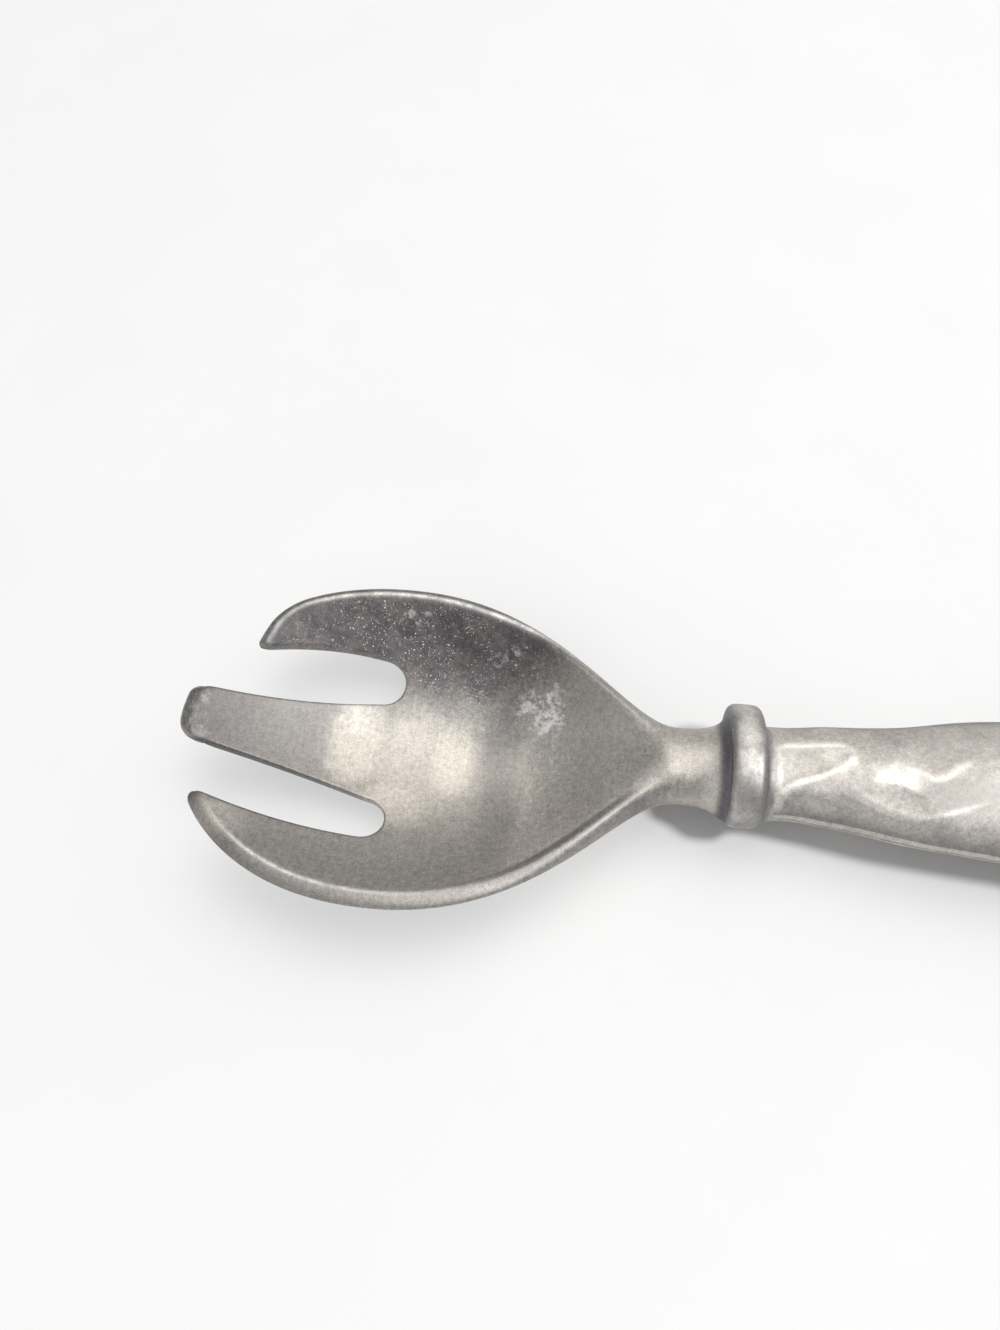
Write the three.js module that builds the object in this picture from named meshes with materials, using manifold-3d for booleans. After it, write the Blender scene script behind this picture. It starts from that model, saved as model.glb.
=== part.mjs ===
// Salad server: a dished three-tined head on an oval neck, a collar, and a hollow hammered handle.
// Millimetres, +Z up. The server lies on the heel of its bowl and the tail of its handle, tip towards -X.
import * as THREE from "three";
import { mergeVertices } from "three/addons/utils/BufferGeometryUtils.js";
import Module from "manifold-3d";

const wasm = await Module();
wasm.setup();

// Head, measured as reach from the middle of the collar towards the tip
const HEAD_WIDTH = 62;
const HEAD_REACH = 100.6;
const WIDEST_REACH = 62.3;
const DEEPEST_REACH = 42.7;
const BOWL_DEPTH = 10.2;
const BOWL_WALL = 1.8;
const RIM_RISE = 3.6;
const LIP_WIDTH = 2.6;
const LIP_CROWN = 0.9;
const LIP_EDGE = 0.7;
const UNDER_FULLNESS = 1.12;
const HEEL_FLAT = 0.25;
const HOLLOW_START = 14;
const FRONT_FULLNESS = 2.2;
const FLARE_NECK_PULL = 9.2;
const FLARE_BOWL_PULL = 28.8;

// Slots between the tines
const SLOT_ROOT_REACH = 62.9;
const FAR_SLOT_OUTER = 18.2;
const NEAR_SLOT_OUTER = 17.4;
const FAR_SLOT_BULGE = 1.25;
const NEAR_SLOT_BULGE = 0.8;
const MIDDLE_TINE_ROOT = 19.2;
const MIDDLE_TINE_FAR_TIP = 6;
const MIDDLE_TINE_NEAR_TIP = 4.5;
const MIDDLE_TINE_WAIST = 0.6;
const FAR_TINE_INNER_TIP = 15.7;
const NEAR_TINE_INNER_TIP = 14.1;
const NEAR_TINE_REACH = 95.6;
const FAR_TINE_REACH = 89.9;
const MIDDLE_FAR_CORNER = 3.0;
const MIDDLE_NEAR_CORNER = 4.6;
const NEAR_CORNER = 2.4;
const FAR_CORNER = 0.9;
const FAR_TINE_SLANT = 0.27;
const NEAR_TINE_SLANT = 0.3;
const FAR_TINE_SHOULDER = 4.2;
const NEAR_TINE_SHOULDER = 1.5;

// Neck, tang and collar
const NECK_WIDTH = 14.2;
const OVAL_FLATNESS = 0.7;
const NECK_REACH = 12.5;
const TANG_LENGTH = 62;
const TANG_WIDTH = 8;
const TANG_END_WIDTH = 5;
const TANG_THICKNESS = 5;
const COLLAR_WIDTH = 22.8;
const COLLAR_OFF_CENTRE = 1.2;
const BAND_LENGTH = 5.4;
const BAND_SET_BACK = 0.6;
const BAND_EDGE = 1.5;
const BAND_CROWN = 0.1;
const COLLAR_NECK_FILLET = 3.6;
const COLLAR_HANDLE_FILLET = 2.6;
const COLLAR_SKIRT = 0.5;
const COLLAR_WEB = 4.4;

// Handle, measured as run from the middle of the collar towards the tail
const HANDLE_RUN = 178.5;
const MOUTH_WIDTH = 17.2;
const MOUTH_STRAIGHT = 2.5;
const SHOULDER_RUN = 44;
const SHOULDER_WIDTH = 26.2;
const SHOULDER_THICKNESS = 13.6;
const PALM_RUN = 98;
const PALM_WIDTH = 33;
const PALM_THICKNESS = 13.8;
const TAIL_RUN = 152;
const TAIL_WIDTH = 28;
const TAIL_THICKNESS = 11.6;
const TAIL_FLAT = 0.3;
const TAIL_END_WIDTH = 23.5;
const TAIL_ROUND = 15.4;
const HANDLE_ARCH = 1.2;
const PALM_DROP_SHARE = 0.32;
const SHELL_WALL = 1.5;
const FIRST_DENT_RUN = 15.5;
const DENT_PITCH = 18;
const DENT_REACH = 13;
const DENT_DEPTH = 0.75;
const DENTS_AROUND = 5;

// Gaps between pieces
const FIT = 0.25;
const SEAM = 0.2;

const HALF_WIDTH = HEAD_WIDTH / 2;
const NECK_HALF = NECK_WIDTH / 2;
const NECK_HALF_HEIGHT = NECK_HALF * OVAL_FLATNESS;
const FRONT_REACH = HEAD_REACH - WIDEST_REACH;
const MOUTH_HALF = MOUTH_WIDTH / 2;
const NECK_SEAT = COLLAR_WEB / 2 + FIT;
const MOUTH_RUN = COLLAR_WEB / 2 + FIT;

const mix = THREE.MathUtils.lerp;
const ease = THREE.MathUtils.smoothstep;

function solidOf(geometry) {
  const bare = geometry.clone();
  bare.deleteAttribute("normal");
  bare.deleteAttribute("uv");
  const merged = mergeVertices(bare, 1e-5);
  return new wasm.Manifold(new wasm.Mesh({
    numProp: 3,
    vertProperties: new Float32Array(merged.attributes.position.array),
    triVerts: new Uint32Array(merged.index.array),
  }));
}

function geometryOf(solid) {
  const mesh = solid.getMesh();
  const geometry = new THREE.BufferGeometry();
  geometry.setAttribute("position", new THREE.BufferAttribute(new Float32Array(mesh.vertProperties), 3));
  geometry.setIndex(new THREE.BufferAttribute(new Uint32Array(mesh.triVerts), 1));
  geometry.computeVertexNormals();
  return geometry;
}

// Closed skin over rings of equal count, each ring turning the same way, with a fan over each end.
function loft(rings) {
  const count = rings[0].length;
  const points = rings.flat();
  const faces = [];
  for (let i = 0; i + 1 < rings.length; i += 1) {
    for (let j = 0; j < count; j += 1) {
      const a = i * count + j;
      const b = i * count + ((j + 1) % count);
      faces.push(a, b, b + count, a, b + count, a + count);
    }
  }
  [rings[0], rings[rings.length - 1]].forEach((ring, end) => {
    const centre = new THREE.Vector3();
    ring.forEach((point) => centre.addScaledVector(point, 1 / count));
    const hub = points.push(centre) - 1;
    const first = end === 0 ? 0 : (rings.length - 1) * count;
    for (let j = 0; j < count; j += 1) {
      const a = first + j;
      const b = first + ((j + 1) % count);
      faces.push(...(end === 0 ? [hub, b, a] : [hub, a, b]));
    }
  });
  const geometry = new THREE.BufferGeometry().setFromPoints(points);
  geometry.setIndex(faces);
  return geometry;
}

// Straight block between two opposite corners.
function block(low, high) {
  const box = new THREE.Box3(new THREE.Vector3(...low), new THREE.Vector3(...high));
  const size = box.getSize(new THREE.Vector3());
  const centre = box.getCenter(new THREE.Vector3());
  return new THREE.BoxGeometry(size.x, size.y, size.z).translate(centre.x, centre.y, centre.z);
}

// Lathe profile of [along, radius] points, turned about X and flattened to the shared oval.
function ovalLathe(profile, segments) {
  const points = profile.map(([along, radius]) => new THREE.Vector2(radius, along));
  return new THREE.LatheGeometry(points, segments).rotateZ(-Math.PI / 2).scale(1, 1, OVAL_FLATNESS);
}

// Rim line: how far the widest line of a section stands above the neck axis.
function rimHeight(reach) {
  return RIM_RISE * Math.max(0, reach - NECK_REACH) / (HEAD_REACH - NECK_REACH);
}

const flare = new THREE.CubicBezierCurve(
  new THREE.Vector2(NECK_REACH, NECK_HALF),
  new THREE.Vector2(NECK_REACH + FLARE_NECK_PULL, NECK_HALF),
  new THREE.Vector2(WIDEST_REACH - FLARE_BOWL_PULL, HALF_WIDTH),
  new THREE.Vector2(WIDEST_REACH, HALF_WIDTH),
);

// Outline stations from the neck seat to the tip: reach, half width and how squarely the side is met.
function headStations() {
  const stations = [NECK_SEAT, (NECK_SEAT + NECK_REACH) / 2].map((reach) => ({
    reach, half: NECK_HALF, square: 1,
  }));
  const flareSteps = 13;
  for (let i = 0; i < flareSteps; i += 1) {
    const at = flare.getPoint(i / flareSteps);
    const way = flare.getTangent(i / flareSteps);
    stations.push({ reach: at.x, half: at.y, square: way.x });
  }
  const frontSteps = 16;
  const lastAngle = THREE.MathUtils.degToRad(88.6);
  for (let i = 0; i <= frontSteps; i += 1) {
    const angle = (lastAngle * i) / frontSteps;
    stations.push({
      reach: WIDEST_REACH + FRONT_REACH * Math.sin(angle) ** (2 / FRONT_FULLNESS),
      half: HALF_WIDTH * Math.cos(angle),
      square: 1,
    });
  }
  return stations;
}

// Distance from a point of a section to the outline of the head.
function edgeDistance({ reach, half, square }, side) {
  if (reach <= WIDEST_REACH) {
    return (half - Math.abs(side)) * square;
  }
  const ahead = (reach - WIDEST_REACH) / FRONT_REACH;
  const across = Math.abs(side) / HALF_WIDTH;
  const fill = ahead ** FRONT_FULLNESS + across ** 2;
  const steepAhead = (FRONT_FULLNESS * ahead ** (FRONT_FULLNESS - 1)) / FRONT_REACH;
  const steepAcross = (2 * across) / HALF_WIDTH;
  return Math.max(0, (1 - fill) / Math.hypot(steepAhead, steepAcross));
}

// Half width of the rounded front, drawn in by an inset.
function frontHalf(reach, inset) {
  const ahead = THREE.MathUtils.clamp((reach - WIDEST_REACH) / (FRONT_REACH - inset), 0, 1);
  return (HALF_WIDTH - inset) * Math.sqrt(1 - ahead ** FRONT_FULLNESS);
}

// Half width of the hollow inside the lip.
function hollowHalf({ reach, half }) {
  return reach <= WIDEST_REACH ? half - LIP_WIDTH : frontHalf(reach, LIP_WIDTH);
}

// Rounded edge: 0 at the outline, 1 once the round is passed.
function roundedEdge(distance, round) {
  const inside = 1 - Math.min(1, distance / round);
  return Math.sqrt(1 - inside * inside);
}

// Share of the full depth at a reach, between a start at the neck and an end at the tip.
function depthShare(reach, start, end, power) {
  if (reach <= start || reach >= end) {
    return 0;
  }
  if (reach > DEEPEST_REACH) {
    return 1 - ((reach - DEEPEST_REACH) / (end - DEEPEST_REACH)) ** 2;
  }
  return (1 - ((DEEPEST_REACH - reach) / (DEEPEST_REACH - start)) ** 2) ** power;
}

// How far the section has turned from the neck's oval into the thin-lipped bowl.
function bowlBlend(reach) {
  return ease(reach, NECK_REACH, DEEPEST_REACH);
}

// Height of the upper face over the neck axis: the crowned neck and lip, less the hollow.
function headTop(station, side) {
  const blend = bowlBlend(station.reach);
  const round = mix(NECK_HALF, LIP_WIDTH, blend);
  const crown = mix(NECK_HALF_HEIGHT, LIP_CROWN, blend) * roundedEdge(edgeDistance(station, side), round);
  const inset = hollowHalf(station);
  const share = depthShare(station.reach, HOLLOW_START, HEAD_REACH - LIP_WIDTH, 1.5);
  const inside = Math.abs(side) < inset ? 1 - (side / inset) ** 2 : 0;
  return rimHeight(station.reach) + crown - (BOWL_DEPTH + LIP_CROWN) * share * inside;
}

// Height of the lower face: the neck's underside running into the dished belly.
function headUnder(station, side) {
  const blend = bowlBlend(station.reach);
  const round = mix(NECK_HALF, LIP_WIDTH, blend);
  const edge = mix(NECK_HALF_HEIGHT, LIP_EDGE, blend) * roundedEdge(edgeDistance(station, side), round);
  const share = depthShare(station.reach, NECK_REACH, HEAD_REACH, 2);
  const inside = Math.max(0, 1 - (side / station.half) ** 2) ** UNDER_FULLNESS;
  return rimHeight(station.reach) - edge - (BOWL_DEPTH + BOWL_WALL - LIP_EDGE) * share * inside;
}

// One closed section: over the lip and hollow from the far side to the near side, and back underneath.
function headRing(station) {
  const lipShare = THREE.MathUtils.clamp(hollowHalf(station) / station.half, 0.4, 0.95);
  const lipSteps = [1, mix(1, lipShare, 0.12), mix(1, lipShare, 0.45)];
  const hollowSteps = 14;
  const overShares = [...lipSteps];
  for (let i = 0; i <= hollowSteps; i += 1) {
    overShares.push(lipShare * Math.cos((Math.PI * i) / hollowSteps));
  }
  overShares.push(...lipSteps.map((share) => -share).reverse());
  const underShares = [];
  const underSteps = 16;
  for (let i = 1; i < underSteps; i += 1) {
    underShares.push(-Math.cos((Math.PI * i) / underSteps));
  }
  const at = (share, height) => {
    const side = share * station.half;
    return new THREE.Vector3(-station.reach, side, height(station, side));
  };
  return [
    ...overShares.map((share) => at(share, headTop)),
    ...underShares.map((share) => at(share, headUnder)),
  ];
}

// Height of the neck axis over the table, set by the deepest place under the bowl.
const AXIS_HEIGHT = Math.max(...headStations().map((station) => -headUnder(station, 0))) - HEEL_FLAT;
const BELOW = block([-300, -100, -AXIS_HEIGHT - 40], [300, 100, -AXIS_HEIGHT]);

// Where the slanted end of an outer tine meets the outline of the head.
function tineShoulder({ outerReach, outerInner, outerCorner, slant }) {
  const reachAt = (side) => outerReach - slant * (side - outerInner);
  let inside = outerInner + outerCorner;
  let outside = HALF_WIDTH;
  for (let step = 0; step < 40; step += 1) {
    const side = (inside + outside) / 2;
    if (side < frontHalf(reachAt(side), 0)) {
      inside = side;
    } else {
      outside = side;
    }
  }
  return new THREE.Vector2(reachAt(inside), inside);
}

// Slot between the middle tine and one outer tine, open at the front, that rounds the corners of both tips.
function slotCutter(slot) {
  const { side, middleTip, middleCorner, rootOuter, outerReach, outerInner, outerCorner, slant } = slot;
  const rootInner = MIDDLE_TINE_ROOT / 2;
  const rootHalf = (rootOuter - rootInner) / 2;
  const rootCentre = SLOT_ROOT_REACH + rootHalf;
  const beyond = HEAD_REACH + 12;
  const outside = HALF_WIDTH + 5;
  const shoulder = tineShoulder(slot);
  const leave = shoulder.x - slot.shoulder;
  const lip = new THREE.Vector2(outerReach - slant * outerCorner, outerInner + outerCorner);
  const endLength = Math.max(shoulder.distanceTo(lip), FIT);
  const meet = shoulder.clone().lerp(lip, Math.min(1, slot.shoulder / endLength));
  const outline = new THREE.Shape();
  outline.moveTo(rootCentre, rootInner);
  outline.quadraticCurveTo(
    (rootCentre + HEAD_REACH - middleCorner) / 2,
    (rootInner + middleTip) / 2 - 2 * MIDDLE_TINE_WAIST,
    HEAD_REACH - middleCorner,
    middleTip,
  );
  outline.quadraticCurveTo(HEAD_REACH, middleTip, HEAD_REACH, middleTip - middleCorner);
  outline.lineTo(beyond, middleTip - middleCorner);
  outline.lineTo(beyond, outside);
  outline.lineTo(leave, outside);
  outline.lineTo(leave, frontHalf(leave, 0));
  outline.quadraticCurveTo(shoulder.x, shoulder.y, meet.x, meet.y);
  outline.lineTo(lip.x, lip.y);
  outline.quadraticCurveTo(outerReach, outerInner, outerReach - outerCorner, outerInner);
  outline.quadraticCurveTo(
    (outerReach - outerCorner + rootCentre) / 2,
    (outerInner + rootOuter) / 2 + 2 * slot.bulge,
    rootCentre,
    rootOuter,
  );
  outline.absarc(rootCentre, rootOuter - rootHalf, rootHalf, Math.PI / 2, 1.5 * Math.PI, false);
  const placed = outline.getPoints(12).map((point) => new THREE.Vector2(-point.x, side * point.y));
  const depth = 60;
  const cutter = new THREE.ExtrudeGeometry(new THREE.Shape(placed), { depth, bevelEnabled: false });
  return solidOf(cutter.translate(0, 0, -depth / 2));
}

const FAR_SLOT = {
  side: 1,
  middleTip: MIDDLE_TINE_FAR_TIP,
  middleCorner: MIDDLE_FAR_CORNER,
  rootOuter: FAR_SLOT_OUTER,
  bulge: FAR_SLOT_BULGE,
  outerReach: FAR_TINE_REACH,
  outerInner: FAR_TINE_INNER_TIP,
  outerCorner: FAR_CORNER,
  slant: FAR_TINE_SLANT,
  shoulder: FAR_TINE_SHOULDER,
};
const NEAR_SLOT = {
  side: -1,
  middleTip: MIDDLE_TINE_NEAR_TIP,
  middleCorner: MIDDLE_NEAR_CORNER,
  rootOuter: NEAR_SLOT_OUTER,
  bulge: NEAR_SLOT_BULGE,
  outerReach: NEAR_TINE_REACH,
  outerInner: NEAR_TINE_INNER_TIP,
  outerCorner: NEAR_CORNER,
  slant: NEAR_TINE_SLANT,
  shoulder: NEAR_TINE_SHOULDER,
};

// Tapered bar that runs from inside the neck through the collar into the handle core.
function tangSolid(grow, start, end) {
  const half = TANG_WIDTH / 2 + grow;
  const endHalf = TANG_END_WIDTH / 2 + grow;
  const thickness = TANG_THICKNESS + 2 * grow;
  const outline = new THREE.Shape();
  outline.moveTo(start, -half);
  outline.lineTo(0, -half);
  outline.lineTo(end + grow - endHalf, -endHalf);
  outline.absarc(end + grow - endHalf, 0, endHalf, -Math.PI / 2, Math.PI / 2, false);
  outline.lineTo(0, half);
  outline.lineTo(start, half);
  outline.closePath();
  const bar = new THREE.ExtrudeGeometry(outline, { depth: thickness, bevelEnabled: false, curveSegments: 6 });
  return solidOf(bar.translate(0, 0, -thickness / 2));
}

// Dished casting with its tang, stood on a small flat under the bowl and slotted into three tines.
function makeHead() {
  return solidOf(loft(headStations().reverse().map(headRing)))
    .add(tangSolid(0, -NECK_REACH, TANG_LENGTH))
    .subtract(solidOf(BELOW))
    .subtract(slotCutter(FAR_SLOT))
    .subtract(slotCutter(NEAR_SLOT));
}

// Slides what stands out beyond a radius sideways, so that a turned form sits off centre.
function offCentre(geometry, from, full, shift) {
  const places = geometry.attributes.position;
  for (let i = 0; i < places.count; i += 1) {
    const radius = Math.hypot(places.getY(i), places.getZ(i) / OVAL_FLATNESS);
    places.setY(i, places.getY(i) + shift * ease(radius, from, full));
  }
  return geometry;
}

// Band with rounded edges between two hollow fillets, bored for the neck, the tang and the handle mouth.
function makeCollar() {
  const bandFrom = -BAND_LENGTH / 2 - BAND_SET_BACK;
  const bandTo = BAND_LENGTH / 2 - BAND_SET_BACK;
  const bandRadius = COLLAR_WIDTH / 2;
  const neckSkirt = NECK_HALF + FIT + COLLAR_SKIRT;
  const mouthSkirt = MOUTH_HALF + FIT + COLLAR_SKIRT;
  const neckEnd = bandFrom - COLLAR_NECK_FILLET;
  const mouthEnd = bandTo + COLLAR_HANDLE_FILLET;
  const foot = bandRadius - BAND_EDGE;
  const quarter = [0.25, 0.5, 0.75, 1].map((share) => (share * Math.PI) / 2);
  const profile = [[neckEnd, 0], [neckEnd, neckSkirt]];
  quarter.forEach((angle) => profile.push([
    neckEnd + COLLAR_NECK_FILLET * Math.sin(angle),
    neckSkirt + (foot - neckSkirt) * (1 - Math.cos(angle)),
  ]));
  quarter.forEach((angle) => profile.push([
    bandFrom + BAND_EDGE * (1 - Math.cos(angle)),
    foot + BAND_EDGE * Math.sin(angle),
  ]));
  profile.push([(bandFrom + bandTo) / 2, bandRadius + BAND_CROWN]);
  [...quarter].reverse().forEach((angle) => profile.push([
    bandTo - BAND_EDGE * (1 - Math.cos(angle)),
    foot + BAND_EDGE * Math.sin(angle),
  ]));
  profile.push([bandTo, foot]);
  [...quarter].reverse().slice(1).forEach((angle) => profile.push([
    mouthEnd - COLLAR_HANDLE_FILLET * Math.sin(angle),
    mouthSkirt + (foot - mouthSkirt) * (1 - Math.cos(angle)),
  ]));
  profile.push([mouthEnd, mouthSkirt], [mouthEnd, 0]);
  const neckBore = ovalLathe([[-20, 0], [-20, NECK_HALF + FIT], [-COLLAR_WEB / 2, NECK_HALF + FIT],
    [-COLLAR_WEB / 2, 0]], 40);
  const mouthBore = ovalLathe([[COLLAR_WEB / 2, 0], [COLLAR_WEB / 2, MOUTH_HALF + FIT],
    [20, MOUTH_HALF + FIT], [20, 0]], 40);
  return solidOf(offCentre(ovalLathe(profile, 48), mouthSkirt, bandRadius, COLLAR_OFF_CENTRE))
    .subtract(solidOf(neckBore))
    .subtract(solidOf(mouthBore))
    .subtract(tangSolid(FIT, -NECK_REACH, TANG_LENGTH));
}

// Handle sections named by their run: half width, half thickness and height of the middle over the axis.
const tailMiddle = TAIL_THICKNESS / 2 - TAIL_FLAT - AXIS_HEIGHT;
const mouthPlain = MOUTH_RUN + MOUTH_STRAIGHT;
const handleGuide = [
  { run: MOUTH_RUN, half: MOUTH_HALF, thick: MOUTH_HALF * OVAL_FLATNESS, middle: 0 },
  { run: mouthPlain, half: MOUTH_HALF, thick: MOUTH_HALF * OVAL_FLATNESS, middle: 0 },
  { run: SHOULDER_RUN, half: SHOULDER_WIDTH / 2, thick: SHOULDER_THICKNESS / 2, middle: HANDLE_ARCH },
  { run: PALM_RUN, half: PALM_WIDTH / 2, thick: PALM_THICKNESS / 2, middle: tailMiddle * PALM_DROP_SHARE },
  { run: TAIL_RUN, half: TAIL_WIDTH / 2, thick: TAIL_THICKNESS / 2, middle: tailMiddle },
  { run: HANDLE_RUN, half: TAIL_END_WIDTH / 2, thick: TAIL_THICKNESS / 2, middle: tailMiddle },
];

// Smooth value between the guide sections, with flat ends.
function guided(key, run) {
  let i = 0;
  while (i + 2 < handleGuide.length && run > handleGuide[i + 1].run) {
    i += 1;
  }
  const here = handleGuide[i];
  const next = handleGuide[i + 1];
  const slope = (k) => {
    if (k <= 1 || k >= handleGuide.length - 2) {
      return 0;
    }
    const before = handleGuide[k - 1];
    const after = handleGuide[k + 1];
    return (after[key] - before[key]) / (after.run - before.run);
  };
  const length = next.run - here.run;
  const t = (run - here.run) / length;
  const bend = t * t * (3 - 2 * t);
  const leave = t * (1 - t) * (1 - t) * length;
  const arrive = t * t * (t - 1) * length;
  return here[key] + (next[key] - here[key]) * bend + slope(i) * leave + slope(i + 1) * arrive;
}

// Hammer dents in staggered rows, each a shallow hollow of its own depth.
function dentDepth(run, angle, half) {
  let deep = 0;
  const rows = Math.floor((HANDLE_RUN - FIRST_DENT_RUN) / DENT_PITCH);
  for (let row = 0; row < rows; row += 1) {
    const centre = FIRST_DENT_RUN + DENT_PITCH * row;
    for (let i = 0; i < DENTS_AROUND; i += 1) {
      const turn = (2 * Math.PI * (i + (row % 2) / 2)) / DENTS_AROUND + 0.35 * Math.sin(2.3 * row);
      const away = Math.atan2(Math.sin(angle - turn), Math.cos(angle - turn));
      const reach = DENT_REACH * (0.85 + 0.2 * Math.sin(1.7 * row + 2.9 * i));
      const near = 1 - ((run - centre) / reach) ** 2 - ((away * half * 0.75) / reach) ** 2;
      if (near > 0) {
        deep = Math.max(deep, DENT_DEPTH * (0.7 + 0.3 * Math.cos(2.1 * row + 1.3 * i)) * near * near);
      }
    }
  }
  return deep * ease(run, mouthPlain, mouthPlain + DENT_REACH);
}

// Closed handle form, drawn in by an inset, with dents in its outside only.
function handleForm(inset, dented, stations, around) {
  const end = HANDLE_RUN - inset;
  const rings = [];
  const ring = (run, shrink) => {
    const half = guided("half", run);
    const thick = guided("thick", run);
    const points = [];
    for (let j = 0; j < around; j += 1) {
      const angle = (2 * Math.PI * j) / around;
      const dent = dented ? dentDepth(run, angle, half) : 0;
      const pull = inset + dent;
      points.push(new THREE.Vector3(
        run,
        (half - pull) * shrink * Math.cos(angle),
        guided("middle", run) + (thick - pull) * shrink * Math.sin(angle),
      ));
    }
    return points;
  };
  const tailStart = end - TAIL_ROUND;
  rings.push(ring(MOUTH_RUN, 1));
  for (let i = 0; i <= stations; i += 1) {
    rings.push(ring(mix(mouthPlain, tailStart, i / stations), 1));
  }
  const tailSteps = 7;
  for (let i = 1; i <= tailSteps; i += 1) {
    const angle = (THREE.MathUtils.degToRad(86) * i) / tailSteps;
    rings.push(ring(mix(tailStart, end, Math.sin(angle)), Math.cos(angle)));
  }
  return loft(rings);
}

// Everything under the side seam of the handle, raised or lowered by half the seam gap.
function underSeam(shift) {
  const outline = new THREE.Shape();
  const steps = 40;
  outline.moveTo(-20, -60);
  outline.lineTo(HANDLE_RUN + 20, -60);
  outline.lineTo(HANDLE_RUN + 20, tailMiddle + shift);
  for (let i = steps; i >= 0; i -= 1) {
    const run = mix(MOUTH_RUN, HANDLE_RUN, i / steps);
    outline.lineTo(run, guided("middle", run) + shift);
  }
  outline.lineTo(-20, shift);
  outline.closePath();
  const depth = 80;
  const slab = new THREE.ExtrudeGeometry(outline, { depth, bevelEnabled: false });
  return solidOf(slab.translate(0, 0, -depth / 2).rotateX(Math.PI / 2));
}

// Hollow hammered handle parted along its side seam.
function makeShells() {
  const mouthOpening = ovalLathe([[-20, 0], [-20, MOUTH_HALF - SHELL_WALL],
    [mouthPlain, MOUTH_HALF - SHELL_WALL], [mouthPlain, 0]], 32);
  const hollow = solidOf(handleForm(0, true, 38, 32))
    .subtract(solidOf(handleForm(SHELL_WALL, false, 18, 24)))
    .subtract(solidOf(mouthOpening))
    .subtract(solidOf(BELOW));
  return {
    upper: hollow.subtract(underSeam(SEAM / 2)),
    lower: hollow.intersect(underSeam(-SEAM / 2)),
  };
}

// Filling that beds the tang inside the shells.
function makeCore() {
  return solidOf(handleForm(SHELL_WALL + FIT, false, 18, 24))
    .subtract(tangSolid(FIT, -NECK_REACH, TANG_LENGTH));
}

function piece(name, solid, colour, roughness, metalness) {
  const material = new THREE.MeshStandardMaterial({ color: colour, roughness, metalness });
  const mesh = new THREE.Mesh(geometryOf(solid), material);
  mesh.name = name;
  return mesh;
}

const shells = makeShells();
const handle = new THREE.Group();
handle.name = "handle";
handle.add(
  piece("handle_upper_shell", shells.upper, "#c9c6c0", 0.25, 1),
  piece("handle_lower_shell", shells.lower, "#c4c1bb", 0.28, 1),
  piece("handle_core", makeCore(), "#8d8476", 0.8, 0),
);

const server = new THREE.Group();
server.name = "server";
server.add(
  piece("head", makeHead(), "#a8a4a3", 0.35, 1),
  piece("collar", makeCollar(), "#c2bfba", 0.25, 1),
  handle,
);

// The origin sits under the middle of the whole length.
const extent = new THREE.Box3().setFromObject(server);
server.position.set(-(extent.min.x + extent.max.x) / 2, -(extent.min.y + extent.max.y) / 2, AXIS_HEIGHT);

const group = new THREE.Group();
group.name = "salad_server";
group.add(server);
export default group;
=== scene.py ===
"""Looks of a cast metal salad server: a dished three-tined head, a collar ring and a hammered handle.

Lengths in the classes are millimetres, measured from the middle of the collar as the part's own
drawing does: reach runs towards the tip, run towards the tail, side across towards the far tine.
"""
from __future__ import annotations

import logging
import math
import random
from dataclasses import dataclass
from enum import Enum
from functools import reduce

import bpy
import numpy as np
from mathutils import Matrix, Vector, noise
from mathutils.geometry import delaunay_2d_cdt


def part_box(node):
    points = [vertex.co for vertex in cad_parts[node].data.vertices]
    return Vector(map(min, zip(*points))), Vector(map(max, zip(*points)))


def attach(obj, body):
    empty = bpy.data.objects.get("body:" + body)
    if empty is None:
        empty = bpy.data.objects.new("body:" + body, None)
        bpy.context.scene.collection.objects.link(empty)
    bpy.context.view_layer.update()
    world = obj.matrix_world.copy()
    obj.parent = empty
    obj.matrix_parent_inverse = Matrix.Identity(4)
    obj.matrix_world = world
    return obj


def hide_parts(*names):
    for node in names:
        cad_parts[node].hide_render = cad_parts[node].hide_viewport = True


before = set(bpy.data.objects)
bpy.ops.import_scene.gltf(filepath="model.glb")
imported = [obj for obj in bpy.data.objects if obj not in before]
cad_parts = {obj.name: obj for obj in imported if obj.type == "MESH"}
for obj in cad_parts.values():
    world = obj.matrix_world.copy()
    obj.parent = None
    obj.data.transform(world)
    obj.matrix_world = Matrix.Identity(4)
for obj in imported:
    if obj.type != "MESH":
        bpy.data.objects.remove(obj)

LOG = logging.getLogger("salad_server")
MM = 0.001
SHARP_CORNER = math.radians(40.0)
PHOTO_HEIGHT = 1330
BODY = "root"
MOUTH_RUN = 2.45
OVAL_FLATNESS = 0.7
FLOAT = "NodeSocketFloat"
VECTOR = "NodeSocketVector"
GEOMETRY = "NodeSocketGeometry"

Socket = bpy.types.NodeSocket
Colour = tuple[float, float, float]
Span = tuple[float, float]
Ramp = tuple[float, float, float, float]


class Side(Enum):
    """Sides of the head across its length, by the sign of the side axis."""

    FAR = 1
    NEAR = -1


class Shell(Enum):
    """Halves of the hollow handle, by the sign of their outward height."""

    UPPER = 1
    LOWER = -1


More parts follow.
